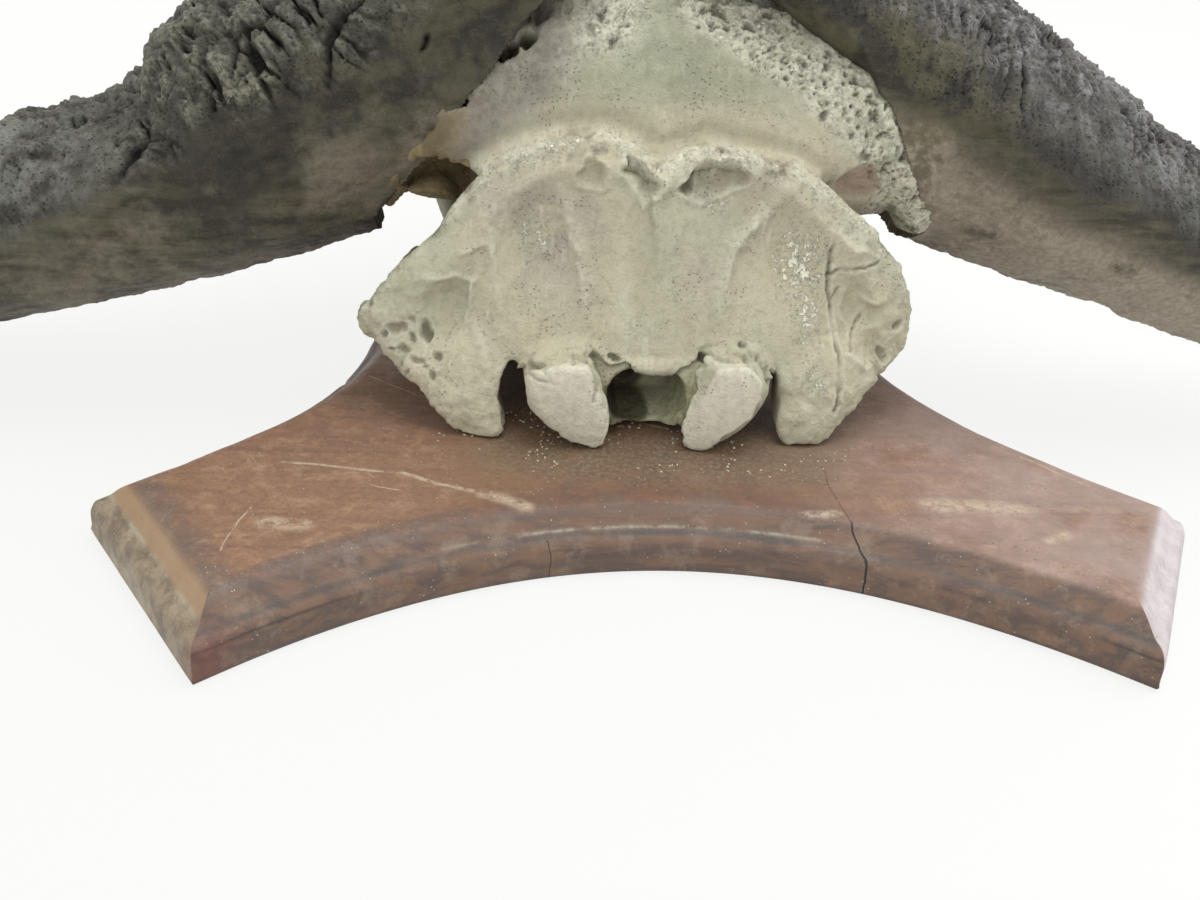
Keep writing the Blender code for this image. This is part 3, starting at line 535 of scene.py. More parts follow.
def horn_material(settings):
    """Dark horn: olive grey bark over black, a dark smooth flank, brown streaks, a light brown below that is
    partly painted bounce light, painted highlights on the upper side and painted shade in its cracks and
    pits.
    """
    n = Nodes("horn_sheath")
    n.shader.inputs["Specular IOR Level"].default_value = 0.28
    fine = n.noise(300.0, 7.0, 0.72)
    grit = n.noise(950.0, 4.0, 0.72)
    middle = n.noise(60.0, 6.0, 0.66)
    broad = n.noise(16.0, 4.0, 0.6)
    streak = n.noise(170.0, 5.0, 0.65, (0.12, 1.0, 1.0), 0.3)
    colour = n.mix(n.ramp(middle, 0.32, 0.68), tuple(settings.horn_dark), tuple(settings.horn_grey))
    colour = n.coat(colour, (0.058, 0.052, 0.05), n.attribute("cool"), 0.45)
    under = n.mix(n.ramp(streak, 0.36, 0.66), (0.038, 0.033, 0.021), (0.112, 0.099, 0.066))
    dull = n.minus(0.6, n.times(n.attribute("cool"), 0.4))
    under = n.coat(under, (0.046, 0.044, 0.034), n.ramp(broad, 0.44, 0.64), dull)
    under = n.coat(under, (0.165, 0.15, 0.115), n.ramp(n.noise(95.0, 5.0, 0.7), 0.5, 0.66), 0.4)
    colour = n.coat(colour, under, n.attribute("under"))
    colour = n.coat(colour, n.mix(n.ramp(middle, 0.35, 0.68), (0.02, 0.0185, 0.0125),
                                  (0.05, 0.047, 0.034)), n.attribute("shade"), 0.88)
    # Light brown below, partly the horn's own colour and partly painted bounce light from the floor.
    patchy = n.plus(n.noise(27.0, 6.0, 0.68), n.times(n.attribute("cool"), 0.15))
    beige_and_bounce = n.times(n.attribute("beige_and_bounce"), n.ramp(patchy, 0.4, 0.6))
    colour = n.coat(colour, n.mix(n.ramp(fine, 0.3, 0.7), (0.25, 0.21, 0.155), (0.44, 0.38, 0.295)),
                    beige_and_bounce, 0.9)
    colour = n.coat(colour, n.mix(fine, (0.06, 0.055, 0.028), (0.155, 0.14, 0.08)), n.attribute("olive"),
                    n.ramp(middle, 0.44, 0.6))
    # The ridges are dusty; on the right horn, ridges near the top get a pale purple grey as a painted
    # highlight.
    dust_and_highlight = n.times(n.attribute("ridge"), n.ramp(fine, 0.36, 0.62))
    powder_and_highlight = n.mix(n.ramp(broad, 0.4, 0.6), tuple(settings.horn_dust), (0.15, 0.15, 0.122))
    powder_and_highlight = n.coat(powder_and_highlight, (0.25, 0.245, 0.25), n.attribute("cool"))
    colour = n.coat(colour, powder_and_highlight, dust_and_highlight)
    # Painted highlight on the upper rear side, which is also less rough.
    colour = n.coat(colour, (0.185, 0.19, 0.175), n.attribute("painted_sheen"), n.ramp(middle, 0.4, 0.66))
    colour = n.coat(colour, (0.23, 0.22, 0.185), n.ramp(grit, 0.56, 0.72), 0.28)
    # Painted shade in small pits.
    pits = n.times(n.ramp(n.spots(420.0), 0.3, 0.12), n.opposite(n.attribute("under")))
    colour = n.coat(colour, (0.012, 0.011, 0.008), pits, 0.6)
    # Painted shade in the cracks of the bark.
    colour = n.coat(colour, (0.006, 0.0055, 0.004), n.attribute("cavity_shade_and_seams"))
    colour = n.coat(colour, n.mix(streak, (0.012, 0.011, 0.01), (0.035, 0.03, 0.026)),
                    n.attribute("polish"))
    height = n.plus(n.times(fine, 0.9), n.times(streak, 0.35))
    height = n.plus(height, n.times(grit, 0.3))
    height = n.minus(height, n.times(pits, 0.4))
    rough = n.minus(0.6, n.times(n.attribute("polish"), 0.26))
    rough = n.minus(rough, n.times(n.attribute("painted_sheen"), 0.16))
    return n.finish(colour, rough, height, 0.002)


def wood_material(settings):
    """Old reddish brown stain, dusty on top, scratched, cracked and darker on the mouldings, with painted
    shade in the cracks and grooves, a painted shadow of the skull with dirt in the middle of the top, a
    painted reflection on the right of the top and a painted highlight on the right ear.
    """
    n = Nodes("wood_worn")
    x, y, z = n.separate()
    grain = n.noise(150.0, 6.0, 0.65, (0.055, 1.0, 1.0), 0.4)
    broad = n.noise(9.0, 4.0, 0.6)
    patch = n.noise(34.0, 6.0, 0.7)
    blotch = n.noise(75.0, 6.0, 0.72)
    fine = n.noise(450.0, 6.0, 0.74)
    colour = n.mix(n.ramp(broad, 0.35, 0.65), tuple(settings.wood_red), tuple(settings.wood_brown))
    colour = n.coat(colour, (0.105, 0.052, 0.031), n.ramp(grain, 0.46, 0.66), 0.5)
    colour = n.coat(colour, (0.31, 0.165, 0.085), n.ramp(blotch, 0.44, 0.66), 0.55)
    top = n.ramp(z, PLAQUE_HIGH.z - 0.003, PLAQUE_HIGH.z - 0.0004)
    edge = n.opposite(top)
    dark = n.mix(n.ramp(grain, 0.42, 0.6), (0.146, 0.084, 0.053), (0.088, 0.058, 0.047))
    dark = n.coat(dark, (0.185, 0.138, 0.1), n.ramp(blotch, 0.5, 0.64), 0.5)
    colour = n.coat(colour, dark, edge, n.ramp(patch, 0.18, 0.5))
    shoulder = n.attribute("shoulder")
    colour = n.coat(colour, (0.085, 0.06, 0.052), shoulder, n.ramp(blotch, 0.3, 0.55))
    # Painted shade in the moulding's grooves and along the bottom edge.
    colour = n.coat(colour, (0.03, 0.022, 0.017), n.attribute("groove"), 0.85)
    dusty = n.times(n.ramp(blotch, 0.5, 0.74), n.plus(n.times(top, 0.26), 0.1))
    colour = n.coat(colour, (0.34, 0.265, 0.19), dusty)
    mottle = n.times(n.ramp(n.noise(230.0, 5.0, 0.75), 0.46, 0.62), n.times(top, 0.42))
    colour = n.coat(colour, (0.115, 0.064, 0.04), mottle)
    film = n.times(n.ramp(n.noise(700.0, 3.0, 0.6), 0.45, 0.7), n.times(top, 0.1))
    colour = n.coat(colour, (0.42, 0.34, 0.25), film)
    # Painted shadow of the skull, with dirt: the middle of the top is darker.
    deep = n.times(n.ramp(x, -0.14, -0.03), n.times(n.ramp(x, 0.12, 0.03), top))
    deep = n.times(deep, n.plus(0.45, n.times(n.ramp(patch, 0.36, 0.6), 0.45)))
    colour = n.coat(colour, n.mix(n.ramp(blotch, 0.4, 0.62), (0.135, 0.058, 0.03), (0.085, 0.044, 0.028)),
                    deep)
    # Painted reflection of the light: the right part of the top is paler.
    painted_sheen = n.times(n.ramp(x, 0.03, 0.19), n.ramp(n.noise(15.0, 5.0, 0.6), 0.3, 0.58))
    colour = n.coat(colour, n.mix(blotch, (0.27, 0.2, 0.18), (0.42, 0.345, 0.325)), painted_sheen, top, 0.55)
    near_skull = n.times(n.attribute("crumbs"), top, n.ramp(fine, 0.38, 0.6))
    colour = n.coat(colour, n.mix(n.ramp(fine, 0.48, 0.56), (0.095, 0.078, 0.046), (0.172, 0.142, 0.088)),
                    near_skull, 0.85)
    lower = n.mix(n.ramp(blotch, 0.34, 0.66), (0.125, 0.092, 0.06), (0.29, 0.235, 0.155))
    upper = n.mix(blotch, (0.215, 0.132, 0.074), (0.36, 0.245, 0.14))
    band = n.mix(n.ramp(z, 0.0185, 0.0205), lower, upper)
    colour = n.coat(colour, band, n.attribute("ear_left"), n.ramp(patch, 0.05, 0.4))
    # Dusty paleness and a painted highlight on the ear's edge that faces right.
    colour = n.coat(colour, n.mix(n.ramp(blotch, 0.35, 0.65), (0.52, 0.475, 0.49), (0.4, 0.345, 0.35)),
                    n.attribute("ear_right_dust_and_light"), 0.92)
    dust_line = n.times(n.attribute("dust_line"), n.ramp(n.noise(60.0, 6.0, 0.75), 0.4, 0.6))
    colour = n.coat(colour, (0.36, 0.34, 0.26), dust_line, 0.75)
    wobble = n.add("ShaderNodeTexNoise", {"Vector": n.place, "Scale": 22.0, "Detail": 6.0}).outputs["Color"]
    wobble = n.vector("SUBTRACT", n.scaled(wobble, 0.012), (0.006, 0.006, 0.006))
    flat = n.vector("MULTIPLY", n.place, (1, 1, 0))
    drawn = n.vector("ADD", flat, n.vector("MULTIPLY", wobble, (1, 1, 0)))
    scuffs = n.times(n.lines(drawn, SCUFFS, 0.0), top, n.ramp(n.noise(210.0, 6.0, 0.8), 0.38, 0.56))
    colour = n.coat(colour, (0.46, 0.375, 0.27), scuffs, 0.72)
    # Painted shade in the cracks.
    cracks = n.times(n.lines(drawn, CRACKS, 0.5), n.opposite(n.times(top, 0.75)))
    colour = n.coat(colour, (0.012, 0.008, 0.006), cracks)
    specks = n.opposite(n.ramp(n.spots(330.0), 0.06, 0.15))
    specks = n.times(specks, n.ramp(n.noise(45.0, 4.0, 0.6), 0.48, 0.6))
    colour = n.coat(colour, (0.5, 0.44, 0.33), specks)
    dirt = n.times(n.ramp(n.spots(240.0), 0.16, 0.05), n.ramp(n.noise(38.0, 4.0, 0.6), 0.46, 0.58))
    colour = n.coat(colour, (0.06, 0.042, 0.03), dirt, 0.7)
    colour = n.coat(colour, (0.125, 0.03, 0.028), n.attribute("red"), 0.55)
    height = n.plus(n.times(grain, 0.5), n.times(fine, 0.4))
    height = n.plus(height, n.times(specks, 0.5))
    height = n.minus(height, n.times(cracks, 3.0))
    rough = n.plus(0.42, n.times(n.ramp(patch, 0.3, 0.7), 0.24))
    return n.finish(colour, rough, height, 0.0008, 0.9)


# Scuffs and scratches of the plaque's face: start and end in x and y, and half width
SCUFFS = (
    ((-0.169, -0.21), (-0.118, -0.218), 0.0016), ((-0.118, -0.218), (-0.083, -0.236), 0.0022),
    ((-0.083, -0.236), (-0.062, -0.245), 0.0055), ((-0.17, -0.262), (-0.154, -0.262), 0.0064),
    ((0.055, -0.247), (0.075, -0.245), 0.0042), ((0.014, -0.25), (0.04, -0.249), 0.003),
    ((0.12, -0.236), (0.16, -0.236), 0.01), ((0.162, -0.264), (0.172, -0.258), 0.0045),
    ((-0.215, -0.16), (-0.19, -0.15), 0.003), ((-0.13, -0.228), (-0.118, -0.232), 0.0008),
    ((-0.03, -0.15), (0.01, -0.17), 0.001), ((-0.14, -0.12), (-0.1, -0.15), 0.001),
    ((0.205, -0.215), (0.18, -0.19), 0.0012), ((-0.185, -0.28), (-0.178, -0.25), 0.0007),
)
# Cracks of the plaque, the same way
CRACKS = (
    ((0.0835, -0.271), (0.0814, -0.261), 0.0005), ((0.0814, -0.261), (0.0786, -0.246), 0.0004),
    ((0.0786, -0.246), (0.076, -0.202), 0.00035), ((-0.0527, -0.264), (-0.0532, -0.256), 0.00022),
)


# Bone

# Soft forms of the nape: centre and half sizes in x and h, and height, minus for a hollow
NAPE_FORMS = (
    (-0.0015, 0.1125, 0.004, 0.0065, 0.0035), (0.004, 0.117, 0.003, 0.0045, 0.002),
    (-0.0933, 0.059, 0.0105, 0.008, -0.0045), (-0.098, 0.045, 0.008, 0.005, -0.002),
    (0.101, 0.06, 0.012, 0.01, -0.004), (0.112, 0.041, 0.008, 0.007, -0.003),
    (0.066, 0.08, 0.016, 0.02, -0.003), (-0.058, 0.082, 0.014, 0.02, -0.002),
    (0.018, 0.07, 0.01, 0.018, 0.001), (0.1, 0.086, 0.006, 0.006, 0.0015),
)
# Hollows of the nape: outline in x and h, depth, width of the edge and how dark their painted shade is
HOLLOWS = (
    (((-0.039, 0.115), (-0.035, 0.1215), (-0.028, 0.123), (-0.022, 0.119), (-0.024, 0.114),
      (-0.031, 0.112)), 0.003, 0.0034, 0.15),
    (((-0.019, 0.122), (-0.016, 0.1245), (-0.009, 0.1222), (-0.003, 0.118), (-0.0015, 0.111),
      (-0.006, 0.1085), (-0.011, 0.112), (-0.015, 0.118)), 0.0075, 0.003, 0.5),
    (((0.0085, 0.113), (0.014, 0.1205), (0.023, 0.1235), (0.034, 0.1225), (0.042, 0.118),
      (0.04, 0.1145), (0.029, 0.112), (0.0185, 0.108)), 0.0055, 0.0032, 0.35),
    (((0.0095, 0.116), (0.015, 0.119), (0.018, 0.115), (0.013, 0.111)), 0.0035, 0.0022, 0.4),
)
# Pits of the nape: centre and half sizes in x and h, depth and how dark their painted shade is
PITS = (
    (-0.1182, 0.043, 0.004, 0.0032, 0.003, 0.55), (-0.104, 0.044, 0.0024, 0.0042, 0.005, 0.95),
    (-0.115, 0.0345, 0.0034, 0.002, 0.0026, 0.6), (-0.099, 0.0352, 0.0022, 0.0022, 0.003, 0.75),
    (-0.108, 0.0318, 0.0036, 0.0018, 0.0026, 0.6), (-0.1235, 0.039, 0.0018, 0.0026, 0.0028, 0.8),
    (-0.111, 0.049, 0.0022, 0.0018, 0.002, 0.45), (-0.101, 0.025, 0.0018, 0.0026, 0.0026, 0.7),
    (-0.1095, 0.04, 0.0016, 0.0024, 0.003, 0.7), (-0.12, 0.033, 0.0014, 0.0014, 0.0022, 0.8),
    (-0.104, 0.03, 0.0014, 0.0012, 0.002, 0.7), (-0.113, 0.027, 0.0018, 0.0012, 0.002, 0.6),
    (-0.036, 0.0422, 0.0018, 0.0014, 0.0032, 0.85), (-0.0158, 0.0392, 0.0026, 0.002, 0.0044, 0.95),
    (0.0252, 0.039, 0.002, 0.0018, 0.0042, 0.95), (0.0436, 0.0438, 0.0018, 0.0014, 0.0038, 0.9),
    (0.0505, 0.0402, 0.0016, 0.0014, 0.003, 0.8), (0.118, 0.036, 0.0026, 0.003, 0.0035, 0.6),
    (0.124, 0.048, 0.0022, 0.003, 0.0032, 0.6),
)
# Ridges and grooves of the nape: path in x and h, half width and height
NAPE_LINES = (
    (((-0.001, 0.112), (-0.0012, 0.1), (0.0001, 0.088)), 0.0014, 0.0022),
    (((-0.0036, 0.111), (-0.0034, 0.1), (-0.002, 0.09)), 0.001, -0.0014),
    (((-0.044, 0.108), (-0.0405, 0.096), (-0.0351, 0.0834), (-0.0318, 0.069), (-0.0308, 0.054)),
     0.003, 0.003),
    (((0.06, 0.112), (0.048, 0.096), (0.0367, 0.086), (0.0327, 0.068), (0.0315, 0.056)),
     0.0036, 0.0042),
    (((-0.0825, 0.069), (-0.0838, 0.06), (-0.087, 0.052)), 0.0013, 0.0032),
    (((-0.108, 0.066), (-0.095, 0.0705), (-0.0825, 0.069)), 0.0016, 0.0026),
    (((-0.076, 0.092), (-0.0745, 0.078), (-0.07, 0.056)), 0.0018, 0.0016),
    (((-0.09, 0.08), (-0.079, 0.086), (-0.0745, 0.078)), 0.0012, 0.0014),
    (((-0.085, 0.05), (-0.078, 0.04), (-0.074, 0.025)), 0.0022, 0.0018),
    (((-0.015, 0.09), (-0.0135, 0.06), (-0.012, 0.044)), 0.004, 0.001),
    (((0.085, 0.095), (0.096, 0.085), (0.109, 0.082)), 0.0016, 0.0018),
    (((0.093, 0.066), (0.0935, 0.056), (0.098, 0.046)), 0.0016, 0.0022),
    (((0.1, 0.064), (0.108, 0.06), (0.116, 0.062)), 0.0014, 0.0014),
    (((0.098, 0.038), (0.106, 0.033), (0.112, 0.033)), 0.0014, 0.0018),
)
# Cracks of the nape: path in x and h, half width and depth
NAPE_CRACKS = (
    (((0.0865, 0.096), (0.085, 0.083), (0.0846, 0.0736), (0.0887, 0.0535), (0.0933, 0.0338),
      (0.0921, 0.0154)), 0.0007, 0.002),
    (((0.0846, 0.074), (0.09, 0.0775), (0.099, 0.077), (0.108, 0.079)), 0.0006, 0.0014),
    (((0.09, 0.068), (0.088, 0.06), (0.0905, 0.047)), 0.0006, 0.0012),
    (((0.104, 0.054), (0.0995, 0.0474), (0.0985, 0.04)), 0.0006, 0.0014),
    (((-0.056, 0.033), (-0.05, 0.0335), (-0.045, 0.0318)), 0.0005, 0.0008),
    (((-0.049, 0.038), (-0.0465, 0.0335), (-0.0455, 0.029)), 0.0004, 0.0007),
    (((-0.029, 0.037), (-0.0275, 0.03), (-0.0265, 0.024)), 0.0005, 0.0008),
    (((0.033, 0.038), (0.0345, 0.03), (0.033, 0.024)), 0.0004, 0.0006),
)
# Outlines of the condyles' worn faces in x and h
CONDYLES = (
    ((-0.0545, 0.035), (-0.046, 0.0405), (-0.0362, 0.0418), (-0.0294, 0.0399), (-0.0244, 0.0322),
     (-0.0225, 0.0238), (-0.0197, 0.0109), (-0.021, 0.002), (-0.025, -0.001), (-0.033, 0.003),
     (-0.0444, 0.0105), (-0.0535, 0.0176), (-0.0575, 0.029)),
    ((0.025, 0.0345), (0.0275, 0.04), (0.0328, 0.0412), (0.0432, 0.0408), (0.0497, 0.0365),
     (0.0515, 0.0281), (0.048, 0.019), (0.0352, 0.0065), (0.025, -0.001), (0.0185, -0.0005),
     (0.019, 0.0113), (0.0217, 0.0238)),
)
# Ragged lower edge of the nape's plate, over the condyles and the foramen
PLATE_EDGE = (
    (-0.06, 0.031), (-0.056, 0.037), (-0.05, 0.041), (-0.04, 0.043), (-0.03, 0.0425),
    (-0.0245, 0.0385), (-0.019, 0.035), (-0.012, 0.0372), (-0.006, 0.033), (0.004, 0.0325),
    (0.012, 0.0322), (0.015, 0.035), (0.0195, 0.036), (0.026, 0.041), (0.04, 0.044),
    (0.052, 0.0415), (0.057, 0.035), (0.06, 0.03),
)
# Bands of loose pale fibres on the nape: centre and half sizes in x and h, and strength
FIBRES = (
    (-0.078, 0.07, 0.008, 0.024, 1.0), (-0.046, 0.096, 0.006, 0.017, 0.9),
    (0.053, 0.102, 0.009, 0.012, 0.9), (-0.088, 0.03, 0.011, 0.015, 0.7),
    (0.0, 0.05, 0.02, 0.01, 0.5), (0.085, 0.03, 0.01, 0.016, 0.5),
    (0.108, 0.062, 0.012, 0.016, 0.6),
)
# Bands of white flakes, the same way
FLAKES = (
    (0.07, 0.079, 0.012, 0.015, 1.0), (0.076, 0.054, 0.006, 0.012, 0.8),
    (-0.056, 0.088, 0.009, 0.012, 0.55), (0.025, 0.106, 0.007, 0.004, 0.8),
    (-0.03, 0.064, 0.003, 0.014, 0.5), (0.082, 0.028, 0.008, 0.006, 0.6),
)
# Bone that the solids leave out: crumbly rims under the horns, the foramen's upper lip and floor and a
# lump at the left end of the nape. Each is a rounded form, with its centre and radii in x, s and h
ADDED_BONE = (
    ((0.0965, 0.078, 0.149), (0.0115, 0.013, 0.0115)), ((0.1036, 0.077, 0.143), (0.0115, 0.0132, 0.0115)),
    ((0.1105, 0.077, 0.1362), (0.0115, 0.0135, 0.0115)), ((0.1153, 0.078, 0.1282), (0.0115, 0.0135, 0.0115)),
    ((0.12, 0.079, 0.1199), (0.0115, 0.0135, 0.0115)), ((0.1243, 0.08, 0.1134), (0.0115, 0.0135, 0.0115)),
    ((0.1286, 0.082, 0.1069), (0.0115, 0.0135, 0.0115)), ((0.1325, 0.084, 0.101), (0.011, 0.014, 0.011)),
    ((0.1358, 0.087, 0.0956), (0.011, 0.014, 0.011)), ((0.1392, 0.091, 0.09), (0.0105, 0.0145, 0.01)),
    ((-0.118, 0.09, 0.111), (0.0165, 0.021, 0.0155)), ((-0.1265, 0.096, 0.0965), (0.01, 0.016, 0.009)),
    ((0.0, 0.0225, 0.035), (0.019, 0.005, 0.0036)), ((-0.1318, 0.05, 0.0425), (0.0052, 0.0075, 0.009)),
    ((0.0, 0.055, 0.0035), (0.021, 0.032, 0.005)),
)
# Rounded forms cut from the bone, in turns for the hollow under the left horn's base and the foramen
CUT_BONE = (
    ((-0.0965, 0.0765, 0.108), (0.024, 0.0165, 0.015)), ((-0.006, 0.0, 0.0175), (0.013, 0.06, 0.0148)),
    ((-0.105, 0.095, 0.086), (0.019, 0.036, 0.0185)), ((0.0, 0.0, 0.0175), (0.0194, 0.025, 0.0152)),
)
# Path of the crest, the upper edge of the nape: x, s and h
CREST = (
    (-0.134, 0.046, 0.048), (-0.129, 0.049, 0.06), (-0.119, 0.05, 0.0725), (-0.107, 0.05, 0.0855),
    (-0.096, 0.05, 0.0965), (-0.087, 0.053, 0.106), (-0.0795, 0.0556, 0.1129), (-0.0614, 0.0538, 0.1219),
    (-0.0485, 0.0539, 0.1268), (-0.0381, 0.0535, 0.1294), (-0.0276, 0.0531, 0.1303),
    (-0.0197, 0.0527, 0.1296), (-0.0143, 0.0515, 0.128), (-0.0064, 0.0478, 0.1239), (-0.0011, 0.0461, 0.1224),
    (0.0028, 0.0457, 0.1221), (0.0069, 0.0472, 0.1234), (0.0122, 0.0483, 0.1249), (0.0229, 0.05, 0.1274),
    (0.0338, 0.0494, 0.1258), (0.0451, 0.0499, 0.1232), (0.0626, 0.0513, 0.1182), (0.0744, 0.0509, 0.1123),
    (0.0836, 0.05, 0.1061), (0.093, 0.0487, 0.0983), (0.1061, 0.0489, 0.0891), (0.117, 0.049, 0.078),
    (0.126, 0.049, 0.0655), (0.132, 0.048, 0.053),
)
# Holes in the rim of bone next to the horns: their depth, and the world place and radius of each
RIM_HOLE_DEPTH = 0.006
RIM_HOLES = (
    ((-0.0994, -0.1263, 0.169), 0.0042), ((-0.095, -0.1263, 0.17), 0.0026),
    ((-0.0825, -0.121, 0.187), 0.0034), ((-0.078, -0.1204, 0.1894), 0.0042),
    ((-0.0735, -0.12, 0.1915), 0.0034), ((-0.068, -0.1195, 0.195), 0.0034), ((-0.066, -0.119, 0.1985), 0.004),
    ((-0.1085, -0.125, 0.158), 0.002), ((-0.115, -0.124, 0.149), 0.0018), ((-0.088, -0.124, 0.18), 0.0016),
    ((0.103, -0.123, 0.169), 0.0025), ((0.112, -0.122, 0.158), 0.0025),
)


def wandering(points, x, h, seed):
    """x and h moved about a little, so that drawn lines aren't smooth."""
    return (x + noise(points, 0.006, seed) * 0.0012 + noise(points, 0.0022, seed + 1) * 0.0005,
            h + noise(points, 0.006, seed + 2) * 0.0012 + noise(points, 0.0022, seed + 3) * 0.0005)


def blobs(x, h, bands):
    """Sum of soft spots, each with its centre and half sizes in x and h and its strength."""
    total = np.zeros(len(x))
    for cx, ch, rx, rh, strength in bands:
        total += strength * bump(x, cx, rx) * bump(h, ch, rh)
    return total


def nape_marks(points, rear):
    """Relief, painted shade in the hollows, pits, cracks and under the plate's edge, pale wear of the nape,
    and its condyles' worn faces.
    """
    x, s, h = skull_frame(points)
    wx, wh = wandering(points, x, h, 41)
    drawn = np.stack([wx, wh], axis=1)
    rough = layered(points, 0.0055, 43, 4)
    coarse = noise(points, 0.01, 19)
    nape = rear * smooth_step(0.028, 0.036, h + 0.5 * np.maximum(np.abs(x) - 0.06, 0.0))
    move, cavity_shade_and_seams, pale, face = np.zeros((4, len(points)))
    for cx, ch, rx, rh, height in NAPE_FORMS:
        move += bump(wx, cx, rx) * bump(wh, ch, rh) * nape * height
    bent = drawn + 0.0018 * noises(points, 0.0075, (47, 48)) + 0.0009 * noises(points, 0.003, (49, 50))
    for outline, depth, width, dark in HOLLOWS:
        inside = inside_of(bent, outline)
        low, high = min(p[1] for p in outline), max(p[1] for p in outline)
        lift = smooth_step(low, high, wh)
        width = width * (2.2 - 1.3 * lift)
        shape = smooth_step(-0.35 * width, 0.65 * width, inside) * rear
        move -= shape * depth * (1 + 0.4 * rough) * (0.55 + 0.55 * lift)
        move += bump(inside, -0.35 * width, 0.0012) * rear * 0.0007
        cavity_shade_and_seams += shape * dark * smooth_step(-0.9, 0.5, rough)
        pale += bump(inside, -0.0012, 0.001) * rear * 0.35
    for cx, ch, rx, rh, depth, dark in PITS:
        inside = 1 - np.hypot((bent[:, 0] - cx) / rx, (bent[:, 1] - ch) / rh)
        shape = smooth_step(-0.25, 0.4, inside) * rear
        move -= shape * depth * 0.75
        cavity_shade_and_seams += smooth_step(-0.05, 0.55, inside) * rear * dark * 0.6
        pale += bump(inside, -0.3, 0.2) * rear * 0.4
    for path, width, height in NAPE_LINES:
        distance, along = to_path(drawn, path)
        shape = bump(distance, 0, width) * nape * np.sin(np.pi * (0.08 + 0.84 * along)) ** 0.6
        move += shape * height
        pale += shape * 0.35 * (height > 0)
    for path, width, depth in NAPE_CRACKS:
        distance, along = to_path(drawn, path)
        shape = bump(distance, 0, width) * rear * smooth_step(-0.7, 0.1, coarse)
        move -= shape * depth
        move += bump(distance, 0.0018, 0.001) * rear * depth * 0.25
        cavity_shade_and_seams += shape * 0.45
        pale += bump(distance, 0.0018, 0.001) * rear * 0.3
    edge, _ = to_path(drawn, PLATE_EDGE)
    below = smooth_step(0.0002, -0.0008, wh - np.interp(wx, *np.array(PLATE_EDGE).T))
    low = rear * (np.abs(x) < 0.0605)
    move += bump(edge, 0, 0.0032) * (1 - below) * low * (0.0022 + 0.0016 * coarse)
    move -= bump(edge, 0, 0.0022) * below * low * 0.0026
    cavity_shade_and_seams += bump(edge, 0, 0.001) * below * low * 0.6 * smooth_step(-0.6, 0.1, coarse)
    for outline in CONDYLES:
        inside = inside_of(drawn, outline)
        near = (inside > 0.001) & (s < 0.03) & (rear > 0.6)
        plane = np.stack([np.ones(near.sum()), x[near], h[near]], axis=1)
        fit = np.linalg.lstsq(plane, s[near], rcond=None)[0]
        off = s - (fit[0] + fit[1] * x + fit[2] * h)
        shape = smooth_step(-0.0006, 0.0007, inside) * smooth_step(0.034, 0.028, s) * rear
        move += shape * (0.0012 + 0.55 * np.clip(off, -0.002, 0.003))
        move -= bump(inside, -0.0022, 0.0013) * low * 0.0014
        pale += bump(inside, 0.0008, 0.0007) * shape * 0.8
        face = np.maximum(face, shape)
    fibres = noise(points / np.array([0.0011, 0.003, 0.009]), 1.0, 45)
    fibres = fibres * 0.6 + 0.4 * noise(points / np.array([0.002, 0.003, 0.02]), 1.0, 46)
    band = np.clip(blobs(wx, wh, FIBRES) + 0.2, 0, 1) * nape
    move += band * fibres * 0.00035
    pale += band * smooth_step(0.12, 0.4, fibres) * smooth_step(-0.3, 0.3, noise(points, 0.005, 52)) * 0.85
    flakes = np.clip(blobs(wx, wh, FLAKES), 0, 1) * nape
    return move, cavity_shade_and_seams, pale, face, flakes


def rim_marks(points, horn):
    """Relief, painted shade in the pores and gaps, and strength of the crumbly bone next to the horns."""
    x, s, h = skull_frame(points)
    reach = horn + 0.007 * noise(points, 0.018, 8)
    porous = smooth_step(0.03, 0.01, reach) * smooth_step(0.14, 0.11, s)
    big, _ = cells(points + 0.0008 * rough_offset(points, 60), 0.004, 61)
    small, _ = cells(points + 0.0005 * rough_offset(points, 64), 0.0024, 62)
    scatter = noise(points, 0.014, 63)
    pores = smooth_step(0.36, 0.2, big) * smooth_step(0.15, 0.55, scatter)
    pores = np.maximum(pores, smooth_step(0.22, 0.46, layered(points, 0.0048, 68, 3)))
    pores = np.maximum(pores, smooth_step(0.4, 0.16, small) * 0.75 * smooth_step(0.25, -0.25, scatter))
    crumbs = layered(points, 0.0065, 71, 4)
    strength = porous * smooth_step(0.03, 0.016, reach + 0.004 * crumbs)
    left = smooth_step(-0.02, -0.05, x)
    pores = pores * (1 - 0.93 * left)
    gaps = np.stack([points[:, 0] / 0.022, points[:, 1] / 0.022, points[:, 2] / 0.01], axis=1)
    seam = smooth_step(0.12, 0.4, noise(gaps, 1.0, 66)) * smooth_step(0.009, 0.004, reach) * left
    ridges = 0.5 - np.abs(noise(points / np.array([0.0035, 0.012, 0.012]), 1.0, 67))
    move = porous * crumbs * (0.0022 - 0.0008 * left) + strength * (0.0006 - pores * 0.0024)
    move += strength * left * ridges * 0.003 - seam * porous * 0.002
    return move, np.clip(strength * pores * 0.85 + seam * porous * 0.5, 0, 1), strength


def rough_offset(points, seed):
    """Small three-way displacement of points, from -1 to 1."""
    return noises(points, 0.0035, range(seed, seed + 3))


